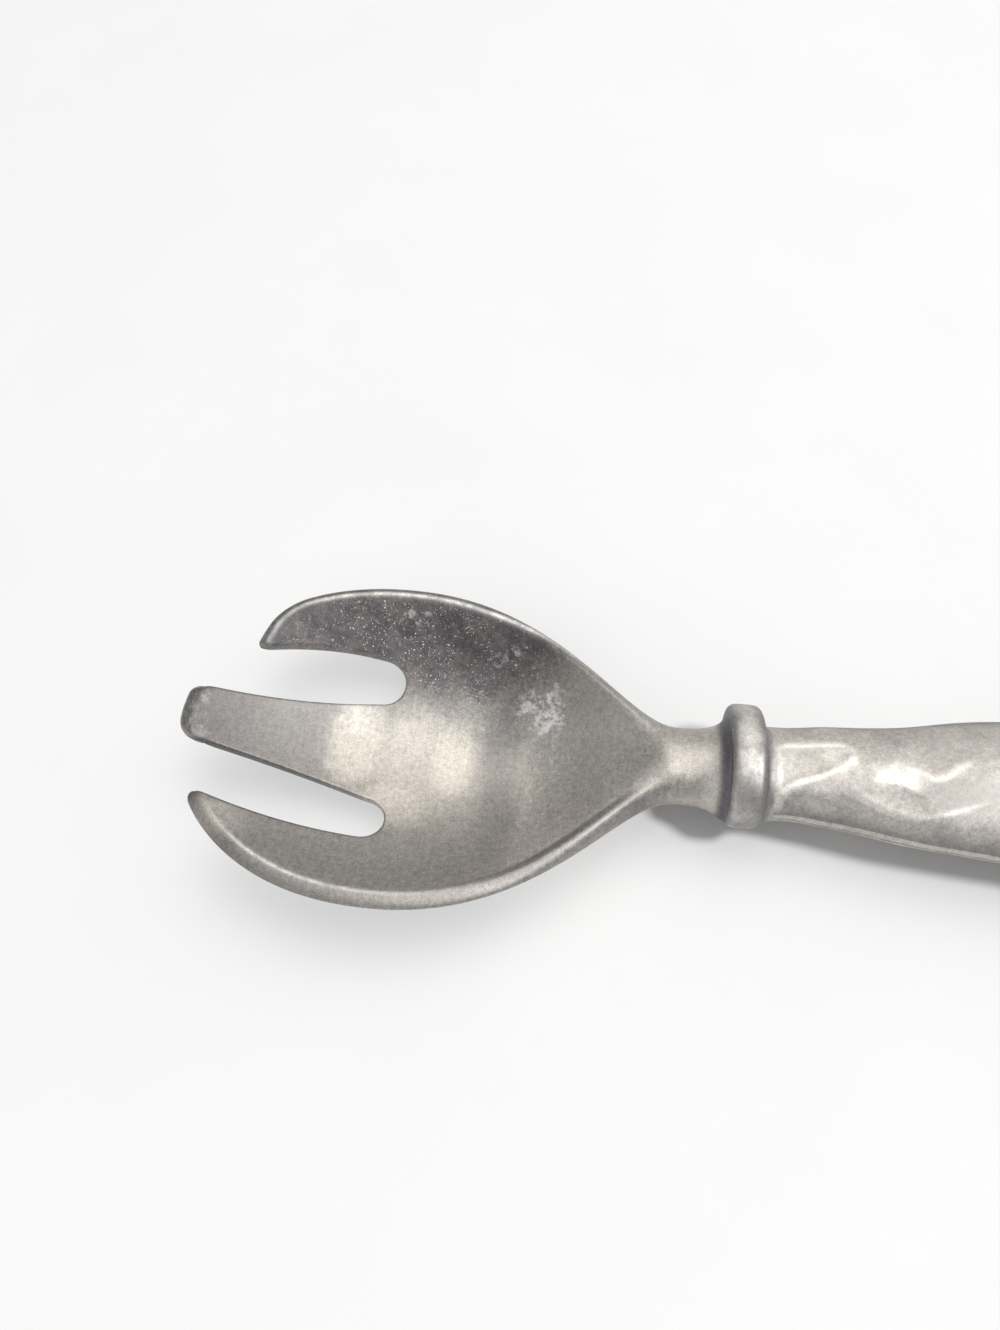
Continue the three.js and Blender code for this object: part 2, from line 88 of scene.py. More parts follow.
class Sketch:
    """Adds nodes to one tree, sets their plain values and joins their sockets."""

    def __init__(self, tree: bpy.types.NodeTree) -> None:
        """Keeps the tree that the nodes go into."""
        self.tree = tree

    def feed(self, socket: Socket, value: object) -> None:
        """Joins a socket to another one, or sets its plain value.

        Args:
            socket: the input to feed.
            value: an output socket, or a number, colour, vector or datablock.
        """
        if isinstance(value, bpy.types.NodeSocket):
            self.tree.links.new(value, socket)
        elif isinstance(value, tuple) and len(value) == 3 and socket.type == "RGBA":
            socket.default_value = (*value, 1.0)
        else:
            socket.default_value = value

    def add(self, kind: str, feeds: dict | None = None, **settings: object) -> bpy.types.Node:
        """Adds one node.

        Args:
            kind: the node's type name.
            feeds: input name or index to what feeds it.
            **settings: properties of the node.

        Returns:
            The new node.
        """
        node = self.tree.nodes.new(kind)
        for name, value in settings.items():
            setattr(node, name, value)
        for key, value in (feeds or {}).items():
            self.feed(node.inputs[key], value)
        return node

    def math(self, operation: str, *values: object) -> Socket:
        """Adds a Math node and returns its output."""
        feeds = dict(enumerate(values))
        return self.add("ShaderNodeMath", feeds, operation=operation).outputs[0]

    def times(self, *factors: object) -> Socket:
        """Multiplies any number of values."""
        return reduce(lambda product, factor: self.math("MULTIPLY", product, factor), factors)

    def most(self, *values: object) -> Socket:
        """Takes the largest of any number of values."""
        return reduce(lambda largest, value: self.math("MAXIMUM", largest, value), values)

    def vector(self, operation: str, *values: object) -> Socket:
        """Adds a Vector Math node and returns its vector, or its value for a length or dot product."""
        node = self.add("ShaderNodeVectorMath", dict(enumerate(values)), operation=operation)
        return node.outputs[1 if operation in {"LENGTH", "DOT_PRODUCT"} else 0]

    def scaled(self, vector: object, factor: object) -> Socket:
        """Adds a Vector Math node that scales a vector and returns the result."""
        return self.add("ShaderNodeVectorMath", {0: vector, 3: factor}, operation="SCALE").outputs[0]

    def blend(self, factor: object, low: object, high: object) -> Socket:
        """Adds a number mix and returns its result."""
        return self.add("ShaderNodeMix", {0: factor, 2: low, 3: high}, data_type="FLOAT").outputs[0]

    def tint(self, factor: object, base: object, over: object, mode: str = "MIX") -> Socket:
        """Adds a colour mix and returns its result."""
        feeds = {0: factor, 6: base, 7: over}
        return self.add("ShaderNodeMix", feeds, data_type="RGBA", blend_type=mode).outputs[2]

    def span(self, value: object, low: object, high: object, first: float = 0.0, last: float = 1.0,
             smooth: bool = True) -> Socket:
        """Maps one range of a value onto another and holds it at the ends.

        Args:
            value: what is mapped.
            low: where its range starts.
            high: where its range ends, below the start for a falling one.
            first: result at the start.
            last: result at the end.
            smooth: whether the result eases in and out.

        Returns:
            The result.
        """
        feeds = {0: value, 1: low, 2: high, 3: first, 4: last}
        shape = "SMOOTHSTEP" if smooth else "LINEAR"
        return self.add("ShaderNodeMapRange", feeds, interpolation_type=shape).outputs[0]

    def noise(self, place: object, scale: object, detail: float = 2.0, roughness: float = 0.5) -> Socket:
        """Adds a Noise Texture and returns its factor."""
        feeds = {"Vector": place, "Scale": scale, "Detail": detail, "Roughness": roughness}
        return self.add("ShaderNodeTexNoise", feeds).outputs["Fac"]

    def end_geometry(self, target: bpy.types.Node, made: Socket, metal: bpy.types.Material) -> None:
        """Ends a geometry tree: its instances made real and its material set.

        Args:
            target: the tree's output node.
            made: what the tree has made.
            metal: the material.
        """
        real = self.add("GeometryNodeRealizeInstances", {"Geometry": made})
        dressed = self.add("GeometryNodeSetMaterial", {"Geometry": real.outputs[0], "Material": metal})
        self.feed(target.inputs[0], dressed.outputs[0])


def new_group(name: str, kind: str, inputs: dict[str, tuple], outputs: dict[str, str]) -> tuple:
    """Starts a node group with named sockets.

    Args:
        name: the group's name.
        kind: ShaderNodeTree or GeometryNodeTree.
        inputs: socket name to (socket type, default value or None).
        outputs: socket name to socket type.

    Returns:
        The tree, a sketch on it, its input node and its output node.
    """
    tree = bpy.data.node_groups.new(name, kind)
    for label, (socket_type, value) in inputs.items():
        socket = tree.interface.new_socket(label, in_out="INPUT", socket_type=socket_type)
        if value is not None:
            socket.default_value = value
    for label, socket_type in outputs.items():
        tree.interface.new_socket(label, in_out="OUTPUT", socket_type=socket_type)
    sketch = Sketch(tree)
    return tree, sketch, sketch.add("NodeGroupInput"), sketch.add("NodeGroupOutput")


class SharedEffects:
    """Shader groups that more than one metal uses. Places are in millimetres."""

    coarse_scale: float = 0.28
    fine_in_tone: float = 0.6
    fine_in_height: float = 0.45
    wobble_scale: float = 2.2
    wobble_amount: float = 0.5
    least_spot: float = 0.25
    spot_core: float = 0.55
    line_breaks: Span = (0.38, 0.62)

    def __init__(self) -> None:
        """Builds every group once."""
        self.patch = self._patch()
        self.grain = self._grain()
        self.specks = self._specks()
        self.line = self._line()

    def _patch(self) -> bpy.types.NodeTree:
        """Soft oval patch with a ragged edge.

        Returns:
            The group: 1 inside the patch, 0 outside.
        """
        inputs = {"Place": (VECTOR, None), "Centre": (VECTOR, None), "Size": (VECTOR, (10.0, 10.0, 10.0)),
                  "Edge": (FLOAT, 0.4), "Ragged": (FLOAT, 0.3), "Grain": (FLOAT, 4.0)}
        tree, s, source, target = new_group("soft_patch", "ShaderNodeTree", inputs, {"Mask": FLOAT})
        get = source.outputs
        away = s.vector("DIVIDE", s.vector("SUBTRACT", get["Place"], get["Centre"]), get["Size"])
        rough = s.noise(get["Place"], s.math("DIVIDE", 1.0, get["Grain"]), detail=5.0, roughness=0.62)
        sway = s.times(s.math("SUBTRACT", rough, 0.5), get["Ragged"], 2.0)
        distance = s.math("ADD", s.vector("LENGTH", away), sway)
        inner = s.math("SUBTRACT", 1.0, get["Edge"])
        outer = s.math("ADD", 1.0, get["Edge"])
        s.feed(target.inputs["Mask"], s.span(distance, inner, outer, 1.0, 0.0))
        return tree

    def _grain(self) -> bpy.types.NodeTree:
        """Fine grain of worn metal, stretched into brush marks where asked.

        Returns:
            The group: a tone and a height, both about one half on average.
        """
        inputs = {"Place": (VECTOR, None), "Stretch": (VECTOR, (1.0, 1.0, 1.0)), "Size": (FLOAT, 0.4)}
        outputs = {"Tone": FLOAT, "Height": FLOAT}
        tree, s, source, target = new_group("metal_grain", "ShaderNodeTree", inputs, outputs)
        get = source.outputs
        place = s.vector("DIVIDE", get["Place"], get["Stretch"])
        scale = s.math("DIVIDE", 1.0, get["Size"])
        coarse = s.noise(place, s.times(scale, self.coarse_scale), detail=3.0, roughness=0.6)
        fine = s.noise(place, scale, detail=2.0, roughness=0.65)
        s.feed(target.inputs["Tone"], s.blend(self.fine_in_tone, coarse, fine))
        s.feed(target.inputs["Height"], s.blend(self.fine_in_height, coarse, fine))
        return tree

    def _specks(self) -> bpy.types.NodeTree:
        """Small scattered spots, each in its own cell.

        Returns:
            The group: 1 on a spot.
        """
        inputs = {"Place": (VECTOR, None), "Pitch": (FLOAT, 1.2), "Amount": (FLOAT, 0.4),
                  "Width": (FLOAT, 0.3)}
        tree, s, source, target = new_group("scattered_spots", "ShaderNodeTree", inputs, {"Mask": FLOAT})
        get = source.outputs
        wobble = s.add("ShaderNodeTexNoise", {"Vector": get["Place"], "Scale": self.wobble_scale,
                                              "Detail": 2.0})
        shifted = s.vector("ADD", get["Place"], s.scaled(wobble.outputs["Color"], self.wobble_amount))
        scale = s.math("DIVIDE", 1.0, get["Pitch"])
        cells = s.add("ShaderNodeTexVoronoi", {"Vector": shifted, "Scale": scale})
        chance = s.add("ShaderNodeSeparateColor", {0: cells.outputs["Color"]})
        kept = s.math("LESS_THAN", chance.outputs[0], get["Amount"])
        width = s.times(get["Width"], s.math("ADD", chance.outputs[1], self.least_spot))
        spot = s.span(cells.outputs["Distance"], s.times(width, self.spot_core), width, 1.0, 0.0)
        s.feed(target.inputs["Mask"], s.times(kept, spot))
        return tree

    def _line(self) -> bpy.types.NodeTree:
        """Soft line where a distance is near zero, broken up by noise; it draws the lip's worn crest with its
        painted highlight and the slots' edges with painted light on the far ones.

        Returns:
            The group: 1 on the line.
        """
        inputs = {"Place": (VECTOR, None), "Distance": (FLOAT, 0.0), "Width": (FLOAT, 0.4),
                  "Broken": (FLOAT, 0.5), "Grain": (FLOAT, 1.5)}
        tree, s, source, target = new_group("worn_line", "ShaderNodeTree", inputs, {"Mask": FLOAT})
        get = source.outputs
        ratio = s.math("DIVIDE", get["Distance"], get["Width"])
        bell = s.math("EXPONENT", s.times(ratio, ratio, -1.0))
        rough = s.noise(get["Place"], s.math("DIVIDE", 1.0, get["Grain"]), detail=4.0, roughness=0.6)
        broken = s.blend(get["Broken"], 1.0, s.span(rough, *self.line_breaks))
        s.feed(target.inputs["Mask"], s.times(bell, broken))
        return tree


@dataclass(frozen=True)
class Spot:
    """Soft patch on a metal: its middle, its half lengths, the nature of its edge and its strength."""

    reach: float
    side: float
    height: float
    length: float
    breadth: float
    thickness: float
    edge: float
    ragged: float
    grain: float
    strength: float = 1.0


@dataclass(frozen=True)
class Cloud:
    """Uneven tone over a metal: how fine it is, how broken up, and the part of its range that counts."""

    scale: float
    detail: float
    roughness: float
    spread: Span = (0.0, 1.0)


class MetalSketch(Sketch):
    """Sketch of one metal's material, with the shared effects at hand."""

    tone_spread: Span = (0.3, 0.7)

    def __init__(self, name: str, effects: SharedEffects) -> None:
        """Starts the material with its Principled shader and its place in millimetres.

        Args:
            name: the material's name.
            effects: the shared groups.
        """
        self.material = bpy.data.materials.new(name)
        self.material.use_nodes = True
        super().__init__(self.material.node_tree)
        self.effects = effects
        self.shader = self.tree.nodes["Principled BSDF"]
        coordinates = self.add("ShaderNodeTexCoord")
        self.place = self.scaled(coordinates.outputs["Object"], 1.0 / MM)

    def group(self, tree: bpy.types.NodeTree, feeds: dict) -> Socket:
        """Places a shared group at this material's place.

        Args:
            tree: the group.
            feeds: input name to what feeds it.

        Returns:
            The group's first output.
        """
        node = self.add("ShaderNodeGroup", None, node_tree=tree)
        for key, value in {"Place": self.place, **feeds}.items():
            self.feed(node.inputs[key], value)
        return node.outputs[0]

    def patch(self, datum: Datum, spot: Spot) -> Socket:
        """Places a soft patch.

        Args:
            datum: where the drawing's zero lies.
            spot: the patch.

        Returns:
            The patch's mask times its strength.
        """
        centre = tuple(datum.at(spot.reach, spot.side, spot.height))
        size = (spot.length, spot.breadth, spot.thickness)
        mask = self.group(self.effects.patch, {"Centre": centre, "Size": size, "Edge": spot.edge,
                                               "Ragged": spot.ragged, "Grain": spot.grain})
        return mask if spot.strength == 1.0 else self.times(mask, spot.strength)

    def patches(self, datum: Datum, spots: tuple[Spot, ...]) -> Socket:
        """Places several patches and takes the strongest at each place."""
        return self.most(*(self.patch(datum, spot) for spot in spots))

    def uneven(self, cloud: Cloud) -> Socket:
        """Adds a cloud's noise at this material's place, over its whole range."""
        return self.noise(self.place, cloud.scale, cloud.detail, cloud.roughness)

    def cloud(self, cloud: Cloud) -> Socket:
        """Adds a cloud: 0 and 1 at the ends of the part of its range that counts."""
        return self.span(self.uneven(cloud), *cloud.spread)

    def contrast(self, tone: Socket, low: float, high: float) -> Socket:
        """Spreads a grain's tone between two values."""
        return self.span(tone, *self.tone_spread, low, high, smooth=False)

    def pair(self, tree: bpy.types.NodeTree, feeds: dict) -> tuple[Socket, Socket]:
        """Places a shared group at this material's place and returns its two outputs."""
        first = self.group(tree, feeds)
        return first, first.node.outputs[1]

    def shaded(self, colour: object, shade: Socket) -> Socket:
        """Multiplies a colour by a number."""
        grey = self.add("ShaderNodeCombineColor", {0: shade, 1: shade, 2: shade}).outputs[0]
        return self.tint(1.0, colour, grey, "MULTIPLY")

    def attribute(self, name: str) -> Socket:
        """Reads a number that the mesh carries at its points."""
        return self.add("ShaderNodeAttribute", None, attribute_name=name).outputs["Fac"]

    def bumps(self, *layers: tuple[object, float]) -> Socket:
        """Chains bump layers.

        Args:
            *layers: pairs of a height socket and its depth in millimetres.

        Returns:
            The bent normal.
        """
        normal = None
        for height, depth in layers:
            feeds = {"Strength": 1.0, "Distance": depth * MM, "Height": height}
            if normal is not None:
                feeds["Normal"] = normal
            normal = self.add("ShaderNodeBump", feeds).outputs[0]
        return normal

    def finish(self, colour: Socket, roughness: Socket, metallic: object,
               *layers: tuple[object, float]) -> bpy.types.Material:
        """Joins a finished look to the shader.

        Args:
            colour: its colour.
            roughness: its roughness.
            metallic: how far it is bare metal.
            *layers: its bump layers, deepest first.

        Returns:
            The material.
        """
        look = {"Base Color": colour, "Roughness": roughness, "Metallic": metallic,
                "Normal": self.bumps(*layers)}
        for name, value in look.items():
            self.feed(self.shader.inputs[name], value)
        return self.material


@dataclass(frozen=True)
class Datum:
    """Where the drawing's zero lies in the part's frame, in millimetres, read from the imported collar."""

    collar_x: float
    axis_height: float

    @classmethod
    def from_frame(cls, mouth_run: float) -> Datum:
        """Reads the datum from the collar and the mouth of the handle.

        Args:
            mouth_run: how far from the collar's middle the handle starts.

        Returns:
            The datum.
        """
        collar_low, collar_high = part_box("collar")
        mouth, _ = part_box("handle_upper_shell")
        return cls(mouth.x / MM - mouth_run, (collar_low.z + collar_high.z) / 2 / MM)

    def at(self, reach: float, side: float, height: float = 0.0) -> Vector:
        """Turns a reach, a side and a height over the axis into a place in the part's frame."""
        return Vector((self.collar_x - reach, side, self.axis_height + height))


def smoothstep(value: np.ndarray, low: float, high: float) -> np.ndarray:
    """Eases from 0 at low to 1 at high."""
    t = np.clip((value - low) / (high - low), 0.0, 1.0)
    return t * t * (3.0 - 2.0 * t)


def soft_positive(value: np.ndarray, soft: np.ndarray | float) -> np.ndarray:
    """Positive part of a value, with its corner rounded over the soft length."""
    return 0.5 * (value + np.sqrt(value * value + soft * soft))


def quadratic(start: tuple, control: tuple, end: tuple, steps: int = 60) -> np.ndarray:
    """Points along a quadratic curve, without its last point.

    Args:
        start: first point.
        control: the point that pulls the curve.
        end: last point.
        steps: how many points are made.

    Returns:
        The points.
    """
    t = np.linspace(0.0, 1.0, steps, endpoint=False)[:, None]
    a, b, c = (np.array(p, float) for p in (start, control, end))
    return (1 - t) ** 2 * a + 2 * t * (1 - t) * b + t * t * c


def resample(points: np.ndarray, pitch: float) -> np.ndarray:
    """Spaces points evenly along a closed line.

    Args:
        points: the line's points.
        pitch: the wanted spacing.

    Returns:
        The evenly spaced points, without a repeated end.
    """
    chain = np.vstack([points, points[:1]])
    steps = np.linalg.norm(np.diff(chain, axis=0), axis=1)
    along = np.concatenate([[0.0], np.cumsum(steps)])
    marks = np.linspace(0.0, along[-1], round(along[-1] / pitch), endpoint=False)
    return np.stack([np.interp(marks, along, chain[:, k]) for k in range(chain.shape[1])], axis=1)


def distance_to(points: np.ndarray, starts: np.ndarray, ends: np.ndarray, block: int = 1500) -> np.ndarray:
    """Distance from each point to the nearest of many straight pieces.

    Args:
        points: places in plan.
        starts: first end of each piece.
        ends: last end of each piece.
        block: how many points are worked at once.

    Returns:
        One distance for each point.
    """
    way = ends - starts
    square = np.maximum((way * way).sum(1), 1e-12)
    found = []
    for first in range(0, len(points), block):
        part = points[first:first + block, None, :] - starts[None]
        t = np.clip((part * way).sum(2) / square, 0.0, 1.0)
        gap = part - t[..., None] * way
        found.append(np.sqrt((gap * gap).sum(2).min(1)))
    return np.concatenate(found)


def inside_loop(points: np.ndarray, loop: np.ndarray, block: int = 1500) -> np.ndarray:
    """Tells which places in plan lie inside a closed loop.

    Args:
        points: places in plan.
        loop: the loop's corners in order.
        block: how many points are worked at once.

    Returns:
        One truth value for each point.
    """
    after = np.roll(loop, -1, axis=0)
    rise = after[:, 1] - loop[:, 1]
    slope = (after[:, 0] - loop[:, 0]) / np.where(rise == 0.0, 1.0, rise)
    found = []
    for first in range(0, len(points), block):
        x, y = (points[first:first + block, k, None] for k in range(2))
        spans = (loop[:, 1] > y) != (after[:, 1] > y)
        crossing = spans & (x < loop[:, 0] + (y - loop[:, 1]) * slope)
        found.append(crossing.sum(1) % 2 == 1)
    return np.concatenate(found)


def mesh_object(name: str, points: np.ndarray, faces: list) -> bpy.types.Object:
    """Makes a smooth-shaded object at the origin from points in millimetres.

    Args:
        name: the object's and mesh's name.
        points: places in the part's frame.
        faces: lists of point numbers, turning outwards.

    Returns:
        The linked object.
    """
    mesh = bpy.data.meshes.new(name)
    mesh.from_pydata((np.asarray(points, float) * MM).tolist(), [], faces)
    mesh.validate()
    mesh.shade_smooth()
    made = bpy.data.objects.new(name, mesh)
    bpy.context.scene.collection.objects.link(made)
    return made


def carry(made: bpy.types.Object, name: str, values: np.ndarray) -> None:
    """Writes one number to each point of a mesh.

    Args:
        made: the object.
        name: what the number is called.
        values: the numbers, in the order of the points.
    """
    made.data.attributes.new(name, "FLOAT", "POINT").data.foreach_set("value", values.astype(np.float32))


def run_tree(made: bpy.types.Object, tree: bpy.types.NodeTree, sizes: dict[str, object]) -> None:
    """Gives an object a Geometry Nodes modifier and sets its inputs by their identifiers.

    Args:
        made: the object.
        tree: the tree.
        sizes: input name to value.
    """
    modifier = made.modifiers.new(tree.name, "NODES")
    modifier.node_group = tree
    for socket in tree.interface.items_tree:
        if socket.in_out == "INPUT" and socket.name in sizes:
            modifier[socket.identifier] = sizes[socket.name]


def settle(made: bpy.types.Object) -> None:
    """Turns an object's modifiers into its plain mesh.

    Args:
        made: the object, whose modifiers are removed.
    """
    view = bpy.context.evaluated_depsgraph_get()
    mesh = bpy.data.meshes.new_from_object(made.evaluated_get(view))
    made.modifiers.clear()
    old = made.data
    made.data = mesh
    bpy.data.meshes.remove(old)
    mesh.name = made.name
    mesh.shade_smooth()
    mesh.set_sharp_from_angle(angle=SHARP_CORNER)


def seat(piece: bpy.types.Object, node: str) -> None:
    """Lets a finished piece stand for a CAD node.

    Args:
        piece: the finished piece.
        node: the CAD node's name.
    """
    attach(piece, BODY)
    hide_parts(node)
    LOG.info("%s: %d faces, stands for %s", piece.name, len(piece.data.polygons), node)


@dataclass(frozen=True)
class SlotCut:
    """One slot between the middle tine and an outer tine, in plan."""

    side: Side
    middle_tip: float
    middle_corner: float
    root_outer: float
    outer_reach: float
    outer_inner: float
    outer_corner: float
    slant: float
    shoulder: float
    bulge: float


@dataclass
class Head:
    """Bowl, tines, lip and neck as one casting."""

    datum: Datum
    width: float = 62.0
    reach: float = 100.59
    widest_reach: float = 62.3
    deepest_reach: float = 42.7
    depth: float = 10.2
    wall: float = 1.8
    rim_rise: float = 3.6
    lip_width: float = 2.6
    lip_crown: float = 0.9
    lip_edge: float = 0.7
    under_fullness: float = 1.12
    hollow_start: float = 14.0
    hollow_power: float = 1.5
    belly_power: float = 2.0
    front_fullness: float = 2.2
    flare_neck_pull: float = 9.2
    flare_bowl_pull: float = 28.8
    neck_width: float = 14.2
    neck_reach: float = 12.5
    neck_seat: float = 2.45
    neck_swell: float = 0.4
    swell_from: float = 10.6
    swell_to: float = 6.9
    slot_root: float = 62.9
    tine_root: float = 19.2
    tine_waist: float = 0.6
    crest_soft: float = 0.5
    crest_inset: float = 2.0
    least_inset: float = 0.5
    cut_round: float = 0.45
    cut_round_share: float = 0.4
    knife_edge: float = 0.001
    corner_soft: float = 0.4
    ease_pitch: float = 0.1
    slot_margin: float = 0.15
    seat_margin: float = 0.5
    bowl_margin: float = 4.0
    unevenness: float = 0.05
    wave_scale: float = 0.13
    calm_by_lip: Span = (1.0, 6.0)
    calm_by_cut: Span = (0.5, 3.0)
    plan_pitch: float = 0.36
    grid_pitch: float = 0.75
    grid_margin: float = 0.3
    ring_keep: float = 0.97
    flare_steps: int = 400
    back_steps: int = 260
    front_steps: int = 400
    slope_steps: int = 600
    slant_steps: int = 40
    root_steps: int = 80
    outer_wall_steps: int = 120
    inner_wall_steps: int = 160
    off_crest: float = 9.0
    cuts: tuple[SlotCut, ...] = (
        SlotCut(Side.FAR, middle_tip=6.0, middle_corner=3.0, root_outer=18.2, outer_reach=90.6,
                outer_inner=15.7, outer_corner=0.9, slant=0.38, shoulder=4.2, bulge=1.25),
        SlotCut(Side.NEAR, middle_tip=4.5, middle_corner=4.6, root_outer=17.4, outer_reach=96.1,
                outer_inner=14.0, outer_corner=1.85, slant=0.3, shoulder=1.5, bulge=0.8),
    )
    rings: tuple[float, ...] = (0.03, 0.1, 0.2, 0.33, 0.5, 0.72, 1.0, 1.35, 1.75, 2.1, 2.4, 2.65, 2.95, 3.35)

    def half_width(self, reach: np.ndarray) -> np.ndarray:
        """Half width of the whole spoon outline.

        Args:
            reach: where along the head it is wanted.

        Returns:
            The half width at each reach.
        """
        neck = self.neck_width / 2
        half = self.width / 2
        t = np.linspace(0.0, 1.0, self.flare_steps)
        anchors = np.array([[self.neck_reach, neck], [self.neck_reach + self.flare_neck_pull, neck],
                            [self.widest_reach - self.flare_bowl_pull, half], [self.widest_reach, half]])
        shares = np.stack([(1 - t) ** 3, 3 * t * (1 - t) ** 2, 3 * t * t * (1 - t), t ** 3], axis=1)
        flare = shares @ anchors
        ahead = np.clip((reach - self.widest_reach) / (self.reach - self.widest_reach), 0.0, 1.0)
        front = half * np.sqrt(1.0 - ahead ** self.front_fullness)
        swell = np.clip((self.swell_from - reach) / (self.swell_from - self.swell_to), 0.0, 1.0) ** 2
        back = np.interp(reach, flare[:, 0], flare[:, 1]) + self.neck_swell * swell
        return np.where(reach <= self.widest_reach, back, front)

    def outline(self) -> np.ndarray:
        """Whole spoon outline in plan, from the neck along the far side, round the tip and back.

        Returns:
            Points as (minus reach, side).
        """
        back = np.linspace(self.neck_seat, self.widest_reach, self.back_steps)
        angle = np.linspace(0.0, math.pi / 2, self.front_steps)
        share = np.sin(angle) ** (2 / self.front_fullness)
        front = self.widest_reach + (self.reach - self.widest_reach) * share
        reach = np.concatenate([back, front[1:]])
        half = np.concatenate([self.half_width(back), self.width / 2 * np.cos(angle[1:])])
        far = np.stack([-reach, half], axis=1)
        near = np.stack([-reach, -half], axis=1)[::-1]
        return np.vstack([far, near[1:]])

    def cut_line(self, cut: SlotCut) -> tuple[np.ndarray, np.ndarray]:
        """Edge of one slot in plan, from the outer tine's shoulder round the root to the middle tine's tip.

        Args:
            cut: the slot.

        Returns:
            The whole line and the slot's own stretch of it, as (minus reach, side).
        """
        inner = self.tine_root / 2
        half = (cut.root_outer - inner) / 2
        centre = self.slot_root + half
        lip = np.array([cut.outer_reach - cut.slant * cut.outer_corner, cut.outer_inner + cut.outer_corner])
        wide = self.width / 2 - cut.outer_inner
        slope = np.linspace((cut.outer_reach - cut.slant * wide, self.width / 2), lip, self.slope_steps)
        corner = slope[np.argmax(self.half_width(slope[:, 0]) > slope[:, 1])]
        leave = corner[0] - cut.shoulder
        leave = np.array([leave, float(self.half_width(np.array([leave]))[0])])
        meet = corner + (lip - corner) * min(1.0, cut.shoulder / max(np.linalg.norm(lip - corner), 1e-6))
        turn = (cut.outer_reach - cut.outer_corner, cut.outer_inner)
        middle_end = (self.reach - cut.middle_corner, cut.middle_tip)
        angle = np.linspace(math.pi / 2, 1.5 * math.pi, self.root_steps, endpoint=False)
        arc = np.stack([centre + half * np.cos(angle), cut.root_outer - half + half * np.sin(angle)], axis=1)
        outer_end = np.vstack([
            quadratic(leave, corner, meet),
            np.linspace(meet, lip, self.slant_steps, endpoint=False),
            quadratic(lip, (cut.outer_reach, cut.outer_inner), turn),
        ])
        pulled_out = ((turn[0] + centre) / 2, (cut.outer_inner + cut.root_outer) / 2 + 2 * cut.bulge)
        pulled_in = ((centre + middle_end[0]) / 2, (inner + cut.middle_tip) / 2 - 2 * self.tine_waist)
        slot = np.vstack([
            quadratic(turn, pulled_out, (centre, cut.root_outer), self.outer_wall_steps),
            arc,
            quadratic((centre, inner), pulled_in, middle_end, self.inner_wall_steps),
        ])
        tip_end = (self.reach, cut.middle_tip - cut.middle_corner)
        middle = quadratic(middle_end, (self.reach, cut.middle_tip), tip_end)
        middle = middle[self.half_width(middle[:, 0]) > middle[:, 1]]
        mirror = np.array([-1.0, cut.side.value])
        return np.vstack([outer_end, slot, middle]) * mirror, slot * mirror

    def plan(self) -> tuple[np.ndarray, np.ndarray, np.ndarray]:
        """Closed plan of the head with its slots, corners eased as wear eases them.

        Returns:
            The loop, which of its points lie on a slot, and which on the outer edge that carries the lip.
        """
        outline = self.outline()
        (far, far_slot), (near, near_slot) = (self.cut_line(cut) for cut in self.cuts)
        near = near[::-1]
        upper = outline[(outline[:, 1] > 0) & (-outline[:, 0] < -far[0, 0])]
        upper = upper[upper[:, 1] > far[-1, 1]]
        between = (outline[:, 1] < far[-1, 1]) & (outline[:, 1] > near[0, 1])
        tip = outline[between & (-outline[:, 0] > self.widest_reach)]
        lower = outline[(outline[:, 1] < 0) & (-outline[:, 0] < -near[-1, 0])]
        lower = lower[lower[:, 1] < near[0, 1]]
        rough = resample(np.vstack([upper, far, tip, near, lower]), self.ease_pitch)
        window = int(3 * self.corner_soft / self.ease_pitch)
        offsets = np.arange(-window, window + 1) * self.ease_pitch
        weights = np.exp(-0.5 * (offsets / self.corner_soft) ** 2)
        weights /= weights.sum()
        padded = np.vstack([rough[-window:], rough, rough[:window]])
        smooth = np.stack([np.convolve(padded[:, k], weights, "valid") for k in range(2)], axis=1)
        loop = resample(smooth, self.plan_pitch)
        on_slot = np.zeros(len(loop), bool)
        for slot in (far_slot, near_slot):
            on_slot |= distance_to(loop, slot[:-1], slot[1:]) < self.slot_margin
        return loop, on_slot, ~on_slot & (-loop[:, 0] > self.neck_seat + self.seat_margin)

    def depth_share(self, reach: np.ndarray, start: float, end: float, power: float) -> np.ndarray:
        """Share of the full depth along the head, rounded off where it starts at the lip of the tip.

        Args:
            reach: where along the head it is wanted.
            start: where the depth starts behind the deepest place.
            end: where it ends in front of it.
            power: how softly it starts.

        Returns:
            The share at each reach.
        """
        ahead = (reach - self.deepest_reach) / (end - self.deepest_reach)
        behind = np.clip((self.deepest_reach - reach) / (self.deepest_reach - start), 0.0, 1.0)
        soft = 2 * self.crest_soft / (end - self.deepest_reach)
        front = soft_positive(1.0 - np.maximum(ahead, 0.0) ** 2, soft)
        return np.where(reach > self.deepest_reach, front, (1.0 - behind ** 2) ** power)

